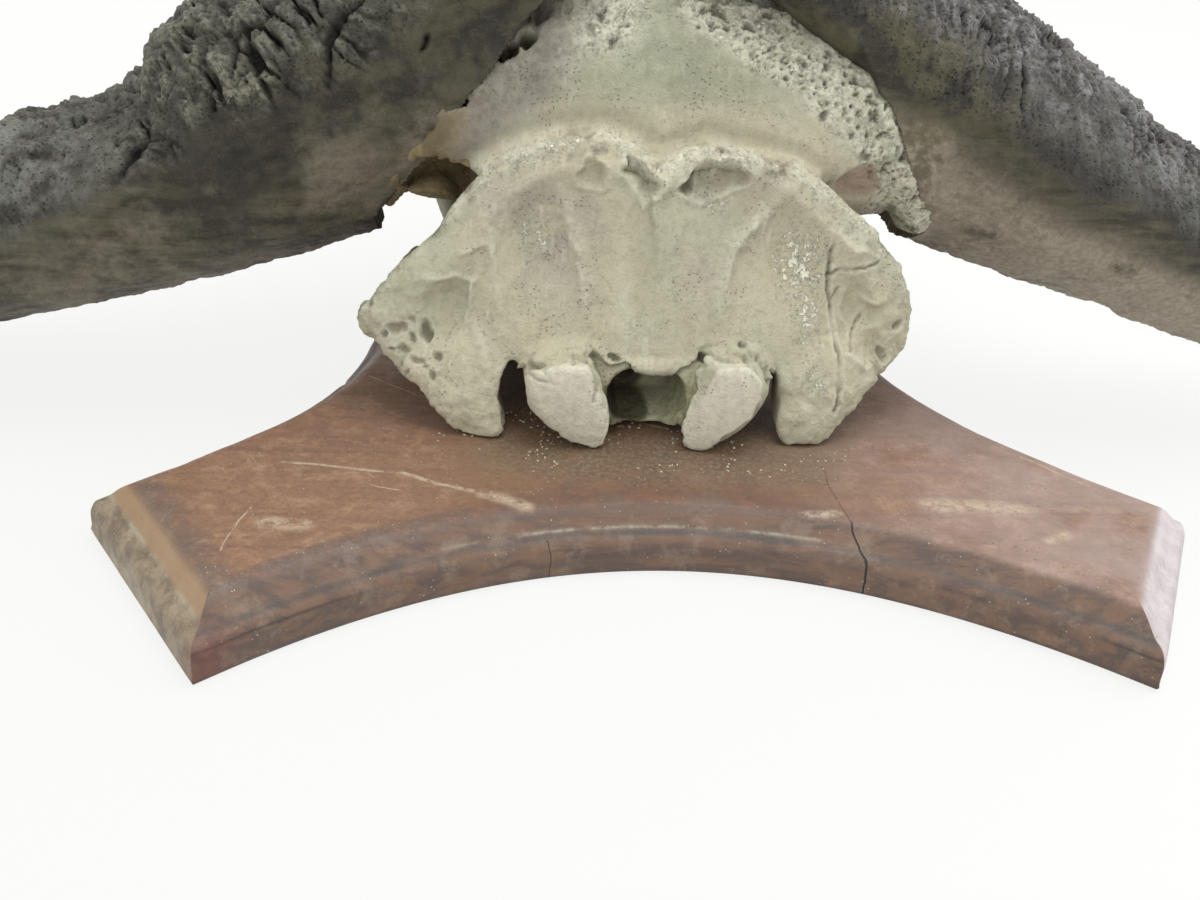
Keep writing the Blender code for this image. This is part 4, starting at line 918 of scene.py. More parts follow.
def crest_marks(skull, crumble):
    """Relief, painted shade in the gaps, pale wear and flakes of the nape's upper edge."""
    _, s, h = skull.T
    back = np.flatnonzero(s < 0.11)
    crest = np.full(len(skull), 1.0)
    crest[back], _ = to_path(skull[back], CREST)
    low_s = np.interp(h, (0.05, 0.09, 0.125), (0.05, 0.049, 0.0515))
    over = smooth_step(low_s, low_s + 0.004, s)
    high = smooth_step(0.045, 0.07, h)
    move = bump(crest, 0, 0.0052) * high * (0.0026 + crumble * 0.0024)
    move -= bump(crest, 0.0105, 0.0042) * over * high * 0.003
    rim = bump(crest, 0, 0.0072) * (0.55 + 0.45 * high)
    pale = rim * smooth_step(-0.3, 0.4, crumble) * 0.8
    cavity_shade_and_seams = rim * smooth_step(-0.1, -0.45, crumble) * 0.6
    return move, cavity_shade_and_seams, pale, rim * 0.45


def mastoid_marks(points, skull, rear, crumble):
    """Relief, holes with painted shade and wear of the rough bone beside and below the nape, and where it is
    ragged.
    """
    x, s, h = skull.T
    behind = smooth_step(0.095, 0.075, s)
    mastoid = smooth_step(0.088, 0.116, np.abs(x)) * smooth_step(0.08, 0.055, h) * behind
    ragged = mastoid * smooth_step(0.75, 0.35, rear)
    edge_holes, _ = cells(points, 0.0055, 3)
    hole = smooth_step(0.4, 0.18, edge_holes) * ragged * smooth_step(-0.2, 0.3, noise(points, 0.012, 12))
    process = smooth_step(0.06, 0.068, np.abs(x)) * smooth_step(0.04, 0.026, h) * behind
    move = mastoid * (layered(points, 0.012, 9, 5, 0.6) * 0.0032 + crumble * 0.001) - hole * 0.003
    move += process * layered(points, 0.01, 77, 5, 0.6) * 0.0026
    return move, hole * 0.75, process * smooth_step(0.1, 0.7, crumble) * 0.5, mastoid * ragged


def inside_forms(skull, forms, outer, inner):
    """1 within some rounded forms and 0 beyond outer times their radii."""
    reach = [np.linalg.norm((skull - np.array(centre)) / np.array(radii), axis=1) for centre, radii in forms]
    return smooth_step(outer, inner, np.minimum.reduce(reach))


def bone_surface(points, normals, horn_tree):
    """How far each point of the bone moves out, and the numbers its material reads."""
    x, s, h = skull_frame(points)
    skull = np.stack([x, s, h], axis=1)
    move = layered(points, 0.03, 31, 5) * 0.001
    cavity_shade_and_seams, pale, face, flakes, strength = np.zeros((5, len(points)))
    crumble = layered(points, 0.0075, 5, 4)

    rear = smooth_step(0.1, 0.45, -normals[:, 1]) * smooth_step(0.085, 0.07, s)
    at = np.flatnonzero(rear > 0)
    for total, values in zip((move, cavity_shade_and_seams, pale, face, flakes), nape_marks(points[at], rear[at])):
        total[at] += values
    for total, values in zip((move, cavity_shade_and_seams, pale, flakes), crest_marks(skull, crumble)):
        total += values
    *marks, rough_sides = mastoid_marks(points, skull, rear, crumble)
    for total, values in zip((move, cavity_shade_and_seams, pale), marks):
        total += values

    close = np.flatnonzero((s < 0.15) & (h > 0.06))
    horn = np.array([horn_tree.find_nearest(Vector(p))[3] for p in points[close].tolist()])
    crumbs, pores, strong = rim_marks(points[close], horn)
    move[close] += crumbs
    cavity_shade_and_seams[close] += pores * 0.85
    strength[close] = strong
    shaken = points[close] + 0.0024 * rough_offset(points[close], 80)
    for place, radius in RIM_HOLES:
        shape = smooth_step(radius * 1.1, radius * 0.86, np.linalg.norm(shaken - np.array(place), axis=1))
        move[close] -= shape * RIM_HOLE_DEPTH
        # Painted shade fills the holes.
        cavity_shade_and_seams[close] += shape

    hollow = inside_forms(skull, CUT_BONE[::2], 1.22, 1.06) * smooth_step(0.06, 0.066, s)
    throat = inside_forms(skull, CUT_BONE[1::2], 1.25, 1.06) * smooth_step(0.002, 0.01, s)
    medial = smooth_step(0.2, 0.6, np.abs(normals[:, 0])) * (np.abs(x) < 0.03) * (s < 0.04) * (h < 0.038)
    pocket = smooth_step(0.054, 0.058, np.abs(x)) * smooth_step(0.076, 0.072, np.abs(x))
    pocket = pocket * smooth_step(0.02, 0.034, s) * smooth_step(0.04, 0.034, h)
    pocket = pocket * smooth_step(0.095, 0.075, s)
    # Painted shade in the foramen: its left wall and its deep part are darker.
    throat_shade = smooth_step(-0.01, -0.016, x) * 0.6
    throat_shade += smooth_step(0.016, 0.026, s) * smooth_step(0.012, 0.004, x) * 0.85
    dish = np.hypot((x - 0.101) / 0.0105, (h - 0.111) / 0.0085) + 0.12 * noise(points, 0.006, 86)
    dish = smooth_step(1.25, 0.75, dish) * smooth_step(0.052, 0.06, s)
    nerve = smooth_step(1.2, 0.7, np.hypot((s - 0.376) / 0.006, (h - 0.064) / 0.0036))
    nerve = nerve * smooth_step(0.2, 0.6, np.sign(x) * normals[:, 0])
    teeth, gaps, tooth = tooth_marks(x, s, h, points)
    move += teeth - dish * 0.003 - nerve * 0.0045
    # Painted shade in the nerve's hole, between the teeth, in the pockets beside the condyles and in the
    # foramen.
    cavity_shade_and_seams += nerve + gaps + pocket * 0.7 + throat * throat_shade
    face = np.maximum(face, tooth)

    left = smooth_step(-0.02, -0.06, x)
    temple = smooth_step(0.02, -0.15, normals[:, 2]) * smooth_step(0.066, 0.07, s)
    temple = temple * smooth_step(0.1, 0.12, h)
    amber = smooth_step(-0.078, -0.096, x) * smooth_step(0.15, 0.13, h + 0.006 * crumble)
    amber = amber * 0.92 * smooth_step(0.058, 0.064, s) + temple * left * 0.9 + hollow * left * 0.6
    stain = tooth * smooth_step(-0.1, 0.5, noise(points, 0.008, 97) + 0.5 * gaps) * 0.6
    lilac = bump(x, -0.052, 0.03) * bump(h, 0.092, 0.026) * rear
    lilac += bump(x, 0.02, 0.02) * bump(h, 0.085, 0.02) * rear * 0.6
    # Painted shadow of the left horn's boss, with stain: the roof darkens towards its upper left.
    roof_shadow_and_stain = smooth_step(-0.016, 0.012, h - 0.205 - x + 0.007 * noise(points, 0.03, 85))
    attributes = {
        "cavity_shade_and_seams": np.clip(cavity_shade_and_seams, 0, 1),
        "pale": np.clip(pale + strength * 0.85 * (1 - left), 0, 1),
        "condyle": face,
        "moss": np.clip((medial + throat) * (1 - face) * 0.85 + rough_sides * 0.4 * left, 0, 1),
        "flakes": np.clip(flakes + strength * 0.45 * (1 - left), 0, 1),
        "lilac": np.clip(lilac + 0.12, 0, 1),
        "amber": np.clip(amber, 0, 1) * smooth_step(0.2, 0.14, s) + stain,
        "green": np.clip(smooth_step(0.056, 0.066, s) * smooth_step(0.11, 0.13, h) * bump(x, 0, 0.085), 0, 1),
        "rosy": np.clip(temple * (x > 0) * 0.6 + 1.2 * dish, 0, 0.85),
        "roof_shadow_and_stain": roof_shadow_and_stain * smooth_step(0.054, 0.06, s) * smooth_step(0.2, 0.16, s) * smooth_step(0.1, 0.12, h),
        "vessels": np.clip(1 - rear, 0, 1) * 0.5,
    }
    return move, attributes


def tooth_marks(x, s, h, points):
    """Relief, painted shade in the gaps and along the gums, and mask of the six cheek teeth of each side."""
    move, gaps, tooth = np.zeros((3, len(x)))
    at = np.flatnonzero((s > 0.245) & (s < 0.402) & (h < 0.04) & (np.abs(x) > 0.025))
    x, s, h = np.abs(x[at]), s[at], h[at]
    share = np.linspace(0, 1, 61)
    place = np.interp(s, 0.252 + 0.144 * share * (1.06 - 0.06 * share), 6 * share)
    row = smooth_step(0.02, 0.016, np.abs(x - 0.062 + 0.013 * place / 6))
    gum = 0.033 + 0.002 * np.cos(2 * math.pi * place) + 0.001 * noise(points[at], 0.008, 95)
    mine = row * smooth_step(gum + 0.0008, gum - 0.0008, h) * (s > 0.249) * (s < 0.399)
    within = place - np.floor(place)
    apart = np.minimum(within, 1 - within) * 0.024
    gap = bump(apart, 0, 0.0016)
    ribs = bump(within, 0.2, 0.09) + bump(within, 0.52, 0.08) + bump(within, 0.82, 0.09)
    move[at] = mine * (ribs * 0.0012 - gap * 0.003) - bump(h - gum, 0, 0.0014) * row * 0.001
    gaps[at] = mine * (gap * 0.75 + (1 - ribs) * 0.1) + bump(h - gum, 0, 0.001) * row * 0.35
    tooth[at] = mine
    return move, gaps, tooth


def suture_marks(points, quads, region):
    """Strength of the sutures, at the points where two bones of the face meet."""
    low = np.full(len(points), len(BONE_NODES))
    high = np.zeros(len(points), dtype=int)
    np.minimum.at(low, quads.ravel(), np.repeat(region, 4))
    np.maximum.at(high, quads.ravel(), np.repeat(region, 4))
    _, s, _ = skull_frame(points)
    return (high > low) * smooth_step(0.2, 0.24, s) * smooth_step(-0.7, 0.1, noise(points, 0.012, 96))


def bone_regions(points):
    """Number of the bone that each point belongs to, in the order of BONE_NODES."""
    x, s, h = skull_frame(points)
    s = s + noise(points, 0.01, 91) * 0.0025 + noise(points, 0.0035, 92) * 0.001
    h = h + noise(points, 0.012, 93) * 0.002
    region = np.full(len(points), BONE_NODES.index("braincase"))
    region[(h > 0.094) & (s < 0.32)] = BONE_NODES.index("frontal")
    roof_h = np.interp(s, (0.306, 0.36, 0.432, 0.52), (0.1485, 0.131, 0.108, 0.08))
    pairs = {
        "maxilla": (s > 0.24) & (h < 0.062 + (s - 0.24) * 0.73) | (s > 0.306),
        "zygomatic": (np.abs(x) > 0.079) & (h < 0.086) & (s > 0.112) & (s < 0.306),
        "premaxilla": s > 0.44 - np.clip(h / 0.07, 0, 1) * 0.026,
        "nasal": (s > 0.306) & (h > roof_h) & (np.abs(x) < 0.0315),
    }
    for bone, where in pairs.items():
        region[where & (x >= 0)] = BONE_NODES.index(bone + "_right")
        region[where & (x < 0)] = BONE_NODES.index(bone + "_left")
    region[s < 0.062] = BONE_NODES.index("occipital")
    return region


# How much the bones grow so that their skin closes, rounds of smoothing of the whole skin and more rounds
# of all but the condyles, and how deep the sutures are
BONE_SWELL = 0.0004
CRISP_ROUNDS = 9
SMOOTH_ROUNDS = 25
SUTURE_DEPTH = 0.0007


def make_bones(settings):
    """Every bone of the skull as its own fine mesh, with no seam showing between them."""
    voxel = settings.bone_voxel * 1.0
    points, quads = remeshed(BONE_NODES, voxel, BONE_SWELL, ADDED_BONE, CUT_BONE)
    crisp = relaxed(points, quads, CRISP_ROUNDS)
    points = relaxed(crisp, quads, SMOOTH_ROUNDS)
    x, s, h = skull_frame(points)
    keep = smooth_step(0.062, 0.058, np.abs(x)) * smooth_step(0.046, 0.04, h) * smooth_step(0.06, 0.045, s)
    points += (crisp - points) * keep[:, None]
    normals = normals_of(points, quads)
    horn_tree = tree_of(["horn_boss_right", "horn_boss_left"])
    move, attributes = bone_surface(points, normals, horn_tree)
    region = bone_regions(points[quads[:, 0]])
    suture = suture_marks(points, quads, region)
    # The sutures add dark seams.
    attributes["cavity_shade_and_seams"] = np.clip(attributes["cavity_shade_and_seams"] + 0.5 * suture, 0, 1)
    moved = points + normals * (move - SUTURE_DEPTH * suture)[:, None]
    moved[:, 2] = np.maximum(moved[:, 2], SKULL_FLOOR_Z)
    material = bone_material(settings)
    for index, node in enumerate(BONE_NODES):
        mine = quads[region == index]
        used, inverse = np.unique(mine, return_inverse=True)
        faces = inverse.reshape(-1, 4)
        numbers = {key: values[used] for key, values in attributes.items()}
        data = mesh_from("bone_" + node, moved[used], faces.tolist(), numbers)
        add_piece("bone_" + node, data, material, [node])


def tree_of(nodes):
    """Search tree over the faces of some solids."""
    joined = bmesh.new()
    for node in nodes:
        joined.from_mesh(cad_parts[node].data)
    tree = BVHTree.FromBMesh(joined)
    joined.free()
    return tree


# Horns

# Middle line and section of the right horn: x, s, h, half depth and half thickness
HORN = (
    (0.006, 0.196, 0.208, 0.08, 0.022), (0.025, 0.194, 0.206, 0.099, 0.035),
    (0.06, 0.188, 0.19, 0.115, 0.054), (0.1, 0.178, 0.165, 0.112, 0.063),
    (0.15, 0.16, 0.1355, 0.1, 0.065), (0.2, 0.144, 0.1095, 0.085, 0.061),
    (0.25, 0.134, 0.086, 0.071, 0.053), (0.3, 0.128, 0.065, 0.061, 0.045),
    (0.345, 0.126, 0.051, 0.055, 0.0415), (0.388, 0.123, 0.051, 0.049, 0.04),
    (0.428, 0.115, 0.068, 0.044, 0.0395), (0.454, 0.1, 0.101, 0.038, 0.035),
    (0.462, 0.08, 0.144, 0.032, 0.03), (0.457, 0.059, 0.188, 0.026, 0.0245),
    (0.444, 0.041, 0.228, 0.019, 0.018), (0.429, 0.028, 0.261, 0.011, 0.0105),
    (0.42, 0.022, 0.279, 0.004, 0.004),
)
# How much the right horn rises and the left one drops with x, and how square a horn's section is
HORN_RISE = 0.012
HORN_POWER = 2.15
# Rows at which the horn's lengths begin and end, and rings in its rounded root and in each length
HORN_ENDS = (0.0, 5.0, 10.0, 16.0)
ROOT_RINGS = 22
LENGTH_RINGS = (290, 210, 190)
# How strongly the points round a horn crowd on its rear side, which the photo shows
CROWDING = 0.42
# How far the root bulges towards the skull's middle, and the least x that a horn reaches there
ROOT_BULGE = 0.00175
HORN_GAP = 0.0012


def catmull(rows, places):
    """Smooth curve through equally spaced rows, at an array of places along them."""
    rows = np.array(rows)
    rows = np.vstack([2 * rows[0] - rows[1], rows, 2 * rows[-1] - rows[-2]])
    index = np.clip(places.astype(int), 0, len(rows) - 4)
    t = (places - index)[:, None]
    a, b, c, d = (rows[index + k] for k in range(4))
    slope_b = (c - a) / 2
    slope_c = (d - b) / 2
    return ((2 * t**3 - 3 * t**2 + 1) * b + (t**3 - 2 * t**2 + t) * slope_b
            + (3 * t**2 - 2 * t**3) * c + (t**3 - t**2) * slope_c)


def horn_rings(side, places, shrink, angles):
    """Grid of points of one horn, its distance along the middle line and its radius there."""
    rows = catmull(HORN, places)
    centre = np.stack([rows[:, 0], rows[:, 1], rows[:, 2] + side * HORN_RISE * rows[:, 0]], axis=1)
    step = 0.02
    ahead = catmull(HORN, places + step)
    behind = catmull(HORN, places - step)
    tangent = (ahead - behind)[:, :3]
    tangent[:, 2] += side * HORN_RISE * tangent[:, 0]
    tangent /= np.linalg.norm(tangent, axis=1, keepdims=True)
    hint = np.array([0.0, 1.0, 0.0])
    depth = hint - tangent * tangent[:, 1:2]
    depth /= np.linalg.norm(depth, axis=1, keepdims=True)
    across = np.cross(tangent, depth)
    c = np.sign(np.cos(angles)) * np.abs(np.cos(angles)) ** (2 / HORN_POWER)
    s = np.sign(np.sin(angles)) * np.abs(np.sin(angles)) ** (2 / HORN_POWER)
    reach_depth = (rows[:, 3] * shrink)[:, None] * c[None, :]
    reach_across = (rows[:, 4] * shrink)[:, None] * s[None, :]
    points = (centre[:, None, :] + depth[:, None, :] * reach_depth[..., None]
              + across[:, None, :] * reach_across[..., None])
    lengths = np.linalg.norm(np.diff(centre, axis=0), axis=1)
    along = np.concatenate([[0.0], np.cumsum(lengths)])
    return points, along, rows


# Deep cracks of each horn's bark: half width, depth and path of x, s and h
HORN_CRACKS = {
    -1: (
        (0.0015, 0.0075, ((0.134, 0.079, 0.183), (0.14, 0.077, 0.179), (0.146, 0.074, 0.171),
                          (0.15, 0.071, 0.164), (0.15, 0.067, 0.156), (0.151, 0.065, 0.148))),
        (0.001, 0.006, ((0.205, 0.086, 0.155), (0.204, 0.079, 0.149), (0.201, 0.071, 0.141),
                        (0.2, 0.065, 0.129))),
        (0.0011, 0.005, ((0.188, 0.087, 0.166), (0.19, 0.081, 0.158), (0.191, 0.071, 0.147))),
        (0.001, 0.0045, ((0.173, 0.09, 0.175), (0.178, 0.085, 0.169), (0.184, 0.079, 0.159))),
        (0.001, 0.005, ((0.092, 0.072, 0.186), (0.1, 0.071, 0.181), (0.105, 0.069, 0.174),
                        (0.11, 0.067, 0.161))),
        (0.001, 0.0045, ((0.219, 0.089, 0.149), (0.221, 0.081, 0.141), (0.226, 0.078, 0.135))),
        (0.0012, 0.006, ((0.205, 0.126, 0.173), (0.199, 0.107, 0.17), (0.196, 0.098, 0.168))),
        (0.0022, 0.004, ((0.235, 0.071, 0.12), (0.239, 0.069, 0.114), (0.243, 0.067, 0.106),
                         (0.246, 0.066, 0.099))),
    ),
    1: (
        (0.0009, 0.0035, ((0.175, 0.094, 0.18), (0.173, 0.074, 0.163), (0.173, 0.064, 0.14))),
        (0.0007, 0.0028, ((0.151, 0.088, 0.187), (0.162, 0.084, 0.179), (0.163, 0.074, 0.167))),
        (0.0009, 0.0035, ((0.194, 0.109, 0.178), (0.191, 0.09, 0.17), (0.185, 0.075, 0.158))),
        (0.001, 0.0035, ((0.216, 0.11, 0.167), (0.217, 0.088, 0.154), (0.223, 0.075, 0.138))),
        (0.001, 0.0035, ((0.24, 0.115, 0.154), (0.236, 0.09, 0.145), (0.243, 0.078, 0.131))),
        (0.0007, 0.0025, ((0.14, 0.087, 0.191), (0.146, 0.079, 0.181))),
        (0.0008, 0.0008, ((0.199, 0.064, 0.128), (0.204, 0.063, 0.119), (0.211, 0.063, 0.099))),
    ),
}
# How much higher than the plain form each horn's upper side stands, at places of x
HORN_LIFT = {
    -1: ((0.0, 0.12, 0.16, 0.2, 0.214, 0.228, 0.242, 0.262, 0.29, 0.33, 0.38, 0.42),
         (0.0, 0.0, 0.003, 0.003, -0.001, -0.01, -0.011, -0.006, 0.004, 0.008, 0.005, 0.0)),
    1: ((0.0, 0.1, 0.16, 0.22, 0.26, 0.3, 0.34, 0.4),
        (0.0, -0.002, -0.004, -0.002, -0.002, -0.002, 0.0, 0.0)),
}
# Where each horn's sheath ends below, seen from behind: x at its lip, and how it slants above
HORN_LIP = {-1: (0.134, 0.78), 1: (0.1465, 0.66)}
# Bark of each horn: width and length of its plates, their cracks' depth, and the slant of the bark
BARK = {-1: (0.011, 0.075, 0.0042, -0.1), 1: (0.005, 0.06, 0.0024, 0.35)}


def bark_marks(flat, ring, side, seed, rough, strong, upper):
    """Relief and painted shade in the cracks of a horn's bark, how high its ridges stand, and its lumps."""
    width, length, depth, _ = BARK[side]
    warp = noises(flat, 0.009, range(seed + 31, seed + 34)) * 0.16
    first, second = cells(ring / np.array([width, length, length]) + warp, 1.0, seed + 6)
    gap = second - first
    crack = smooth_step(0.085, 0.025, gap) * smooth_step(0.0, 0.35, noise(flat, 0.02, seed + 9))
    small = ring / (np.array([width, length, length]) * 0.42) + warp * 2
    first, second = cells(small, 1.0, seed + 7)
    small_gap = second - first
    small_crack = smooth_step(0.12, 0.02, small_gap) * smooth_step(-0.4, 0.2, noise(flat, 0.01, seed + 17))
    drawn_out = ring * np.array([1.0, 0.4, 0.4]) + 0.002 * warp
    clumps = np.abs(noise(drawn_out, 0.0075, seed + 35)) + 0.5 * np.abs(noise(drawn_out, 0.0036, seed + 36))
    clumps += 0.3 * np.abs(noise(flat, 0.0024, seed + 37)) - 0.55
    fibre = 0.5 - np.abs(noise(ring / np.array([0.0022, 0.024, 0.024]), 1.0, seed + 2))
    crust = layered(flat, 0.007, seed + 30, 4, 0.62)
    lumps = layered(flat, 0.022, seed + 8, 4, 0.55)

    move = strong * (smooth_step(0.0, 0.2, gap) * depth * 0.25 - crack * depth)
    move += strong * (smooth_step(0.0, 0.3, small_gap) * 0.0005 - small_crack * 0.0013)
    move += rough * (fibre * (0.0016 if side > 0 else 0.0007) + crust * 0.0015 + lumps * 0.0016)
    move += strong * clumps * (0.0014 if side < 0 else 0.0022)
    move += strong * upper * (lumps * 0.005 + clumps * 0.0015)
    cavity_shade_and_seams = strong * (crack * 0.95 + small_crack * 0.45)
    ridge = smooth_step(-0.6, 0.6, lumps + clumps * 1.4) * (1 - crack) * (1 - small_crack * 0.7)
    return move, cavity_shade_and_seams, ridge * (0.45 + 0.55 * smooth_step(-0.05, 0.35, fibre)), lumps


def split_marks(flat, side, seed):
    """Relief and painted shade of the deep cracks that are drawn on a horn."""
    move, cavity_shade_and_seams = np.zeros((2, len(flat)))
    shaken = flat + noises(flat, 0.006, range(seed + 14, seed + 17)) * 0.0018
    for half, deep, path in HORN_CRACKS[side]:
        distance, place = to_path(shaken, path)
        taper = np.sin(np.pi * (0.1 + 0.85 * place)) ** 0.7
        split = bump(distance, 0, half * (0.5 + 0.6 * taper)) * taper
        move -= split * deep
        move += bump(distance, half * 3, half * 2) * taper * deep * 0.14
        cavity_shade_and_seams += split * min(1.2, deep / 0.003)
    return move, cavity_shade_and_seams


def under_relief(flat, ring, far, up, under, seed):
    """Streaks, bands and lumps of a horn's smoother under side."""
    streak = np.stack([far / 0.045, ring[:, 1] / 0.0045, ring[:, 2] / 0.0045], axis=1)
    move = under * (noise(streak, 1.0, seed + 20) * 0.0005 + layered(flat, 0.028, seed + 21, 5) * 0.0013)
    bands = np.sin(2 * math.pi * (far + 0.012 * noise(flat, 0.05, seed + 22)) / 0.036)
    move += under * bands * 0.0006 * (0.5 + 0.5 * noise(flat, 0.08, seed + 23))
    belly = smooth_step(-0.55, -0.9, up)
    return move + belly * layered(flat, 0.009, seed + 34, 4, 0.6) * 0.0024 * smooth_step(0.6, 0.45, far)


def lip_relief(flat, up, rear, side, seed):
    """Relief of the lip with which a horn's sheath ends over the bone."""
    lip_x, slope = HORN_LIP[side]
    lip_x = lip_x - slope * np.maximum(flat[:, 2] - 0.088, 0) + 0.002 * noise(flat, 0.01, seed + 40)
    outside = smooth_step(lip_x - 0.0012, lip_x + 0.0008, flat[:, 0])
    below = smooth_step(0.05, -0.35, up) * smooth_step(-0.5, 0.1, rear)
    fade = np.exp(-np.maximum(flat[:, 0] - lip_x, 0) / (0.04 if side < 0 else 0.012))
    return below * (outside * (0.0085 if side < 0 else 0.005) * fade - (1 - outside) * 0.03)


def horn_surface(points, along, rows, angles, side):
    """How far each point of a horn moves out, and the numbers its material reads."""
    shape = points.shape[:2]
    x = np.broadcast_to(rows[:, 0][:, None], shape).ravel()
    far = np.broadcast_to(along[:, None], shape).ravel()
    angle = np.broadcast_to(angles[None, :], shape).ravel()
    flat = points.reshape(-1, 3)
    seed = 200 if side > 0 else 500
    up = np.sin(angle)
    rear = -np.cos(angle)
    wander = layered(flat, 0.04, seed, 3)
    end = smooth_step(0.5, 0.34, far + 0.05 * wander)
    # The upper side is bark, its strongest part stands over the shoulder of the horn
    top = smooth_step(0.05, 0.55, up + 0.25 * wander + (0.12 if side > 0 else 0.0))
    top = np.maximum(top, smooth_step(-0.3, 0.3, up) * smooth_step(0.3, -0.3, rear))
    under = 1 - smooth_step(0.05, 0.55, top)
    if side < 0:
        smooth_flank = smooth_step(0.165, 0.12, x + 0.01 * wander) * smooth_step(0.97, 0.85, up)
        outer = smooth_step(0.232, 0.25, x + 0.006 * wander) * smooth_step(0.98, 0.8, up)
        calm = np.maximum(smooth_flank * 0.85, outer * 0.7)
    else:
        calm = smooth_step(0.85, 0.45, up + 0.2 * wander) * 0.75
    rough = np.clip(top * (0.12 + 0.88 * end), 0, 1)
    upper = smooth_step(0.45, 0.9, up + 0.15 * wander)
    radius = np.broadcast_to(rows[:, 3][:, None], shape).ravel()
    ring = np.stack([far, np.cos(angle) * radius, np.sin(angle) * radius], axis=1)
    ring[:, 0] += BARK[side][3] * ring[:, 2] + layered(flat, 0.03, seed + 1, 3) * 0.01

    move, cavity_shade_and_seams, ridge, lumps = bark_marks(flat, ring, side, seed, rough, rough * (1 - calm), upper)
    move += layered(flat, 0.085, seed + 13, 2) * 0.003 * end
    move += np.interp(x, *HORN_LIFT[side]) * smooth_step(0.15, 0.8, up)
    splits, dark = split_marks(flat, side, seed)
    move += splits + under_relief(flat, ring, far, up, under, seed)
    if side < 0:
        turn = 0.24 + 0.01 * noise(flat, 0.04, 7) + 0.03 * np.maximum(up, 0) ** 2
        shoulder = smooth_step(turn - 0.003, turn + 0.01, x) * smooth_step(0.42, 0.34, x)
        flank = smooth_step(0.2, 0.7, rear) * smooth_step(0.8, 0.45, up) * smooth_step(-0.4, 0.1, up)
        move += flank * shoulder * 0.0048
    move += lip_relief(flat, up, rear, side, seed)
    tip = smooth_step(0.58, 0.7, far)
    move *= 1 - 0.85 * tip

    outer_half = smooth_step(0.12, 0.15, x) * smooth_step(0.42, 0.3, x)
    middle = smooth_step(-0.45, -0.05, up) * smooth_step(0.7, 0.3, up) * smooth_step(0.0, 0.5, rear)
    # Below, a light brown that is partly the horn's own and partly painted bounce light from the floor; on
    # top, painted highlights on the ridges and on the outer part.
    if side > 0:
        patch = bump(flat[:, 0], 0.13, 0.011) * bump(flat[:, 2], 0.133, 0.008) * smooth_step(0.0, 0.5, rear)
        beige_and_bounce = (smooth_step(0.02, -0.42, up + 0.1 * wander) * outer_half + patch) * 1.15
        # On the right horn the ridges' painted highlight keeps to the top.
        ridge = ridge * smooth_step(0.1, 0.85, up + 0.25 * lumps) * 1.2
        ridge = ridge * (1.0 - 0.45 * smooth_step(0.24, 0.32, x))
        shade = middle * bump(x, 0.13, 0.06) * 0.6
        painted_sheen = bump(x, 0.3, 0.1) * 0.6
    else:
        beige_and_bounce = smooth_step(0.25, -0.2, up + 0.1 * wander) * outer_half * 0.4
        ridge = ridge * 1.4
        shade = middle * smooth_step(0.27, 0.2, x)
        painted_sheen = bump(x, 0.3, 0.045)
    attributes = {
        "under": under,
        "beige_and_bounce": np.clip(beige_and_bounce, 0, 1),
        "cool": np.full(len(flat), float(side > 0)),
        "olive": smooth_step(0.22, 0.15, x) * smooth_step(0.65, 0.2, up) * (0.8 if side > 0 else 0.35),
        "ridge": np.clip(rough * ridge, 0, 1),
        "shade": np.clip(shade, 0, 1),
        "painted_sheen": np.clip(painted_sheen * smooth_step(0.05, 0.4, up) * smooth_step(-0.2, 0.4, rear), 0, 1),
        "cavity_shade_and_seams": np.clip(cavity_shade_and_seams + dark, 0, 1),
        "polish": tip,
    }
    return move.reshape(shape), attributes


def grid_normals(points):
    """Outward normals of a closed tube of points."""
    along = np.gradient(points, axis=0)
    around = np.roll(points, -1, axis=1) - np.roll(points, 1, axis=1)
    normal = np.cross(around, along)
    return normal / np.maximum(np.linalg.norm(normal, axis=2, keepdims=True), 1e-12)


def tube_faces(rows, columns, first_cap, last_cap):
    """Faces of a tube of rows and columns, with fans to the cap points."""
    faces = []
    for i in range(rows - 1):
        a = i * columns
        b = a + columns
        faces += [(a + j, b + j, b + (j + 1) % columns, a + (j + 1) % columns) for j in range(columns)]
    last = (rows - 1) * columns
    faces += [((j + 1) % columns, first_cap, j) for j in range(columns)]
    faces += [(last + j, last_cap, last + (j + 1) % columns) for j in range(columns)]
    return faces


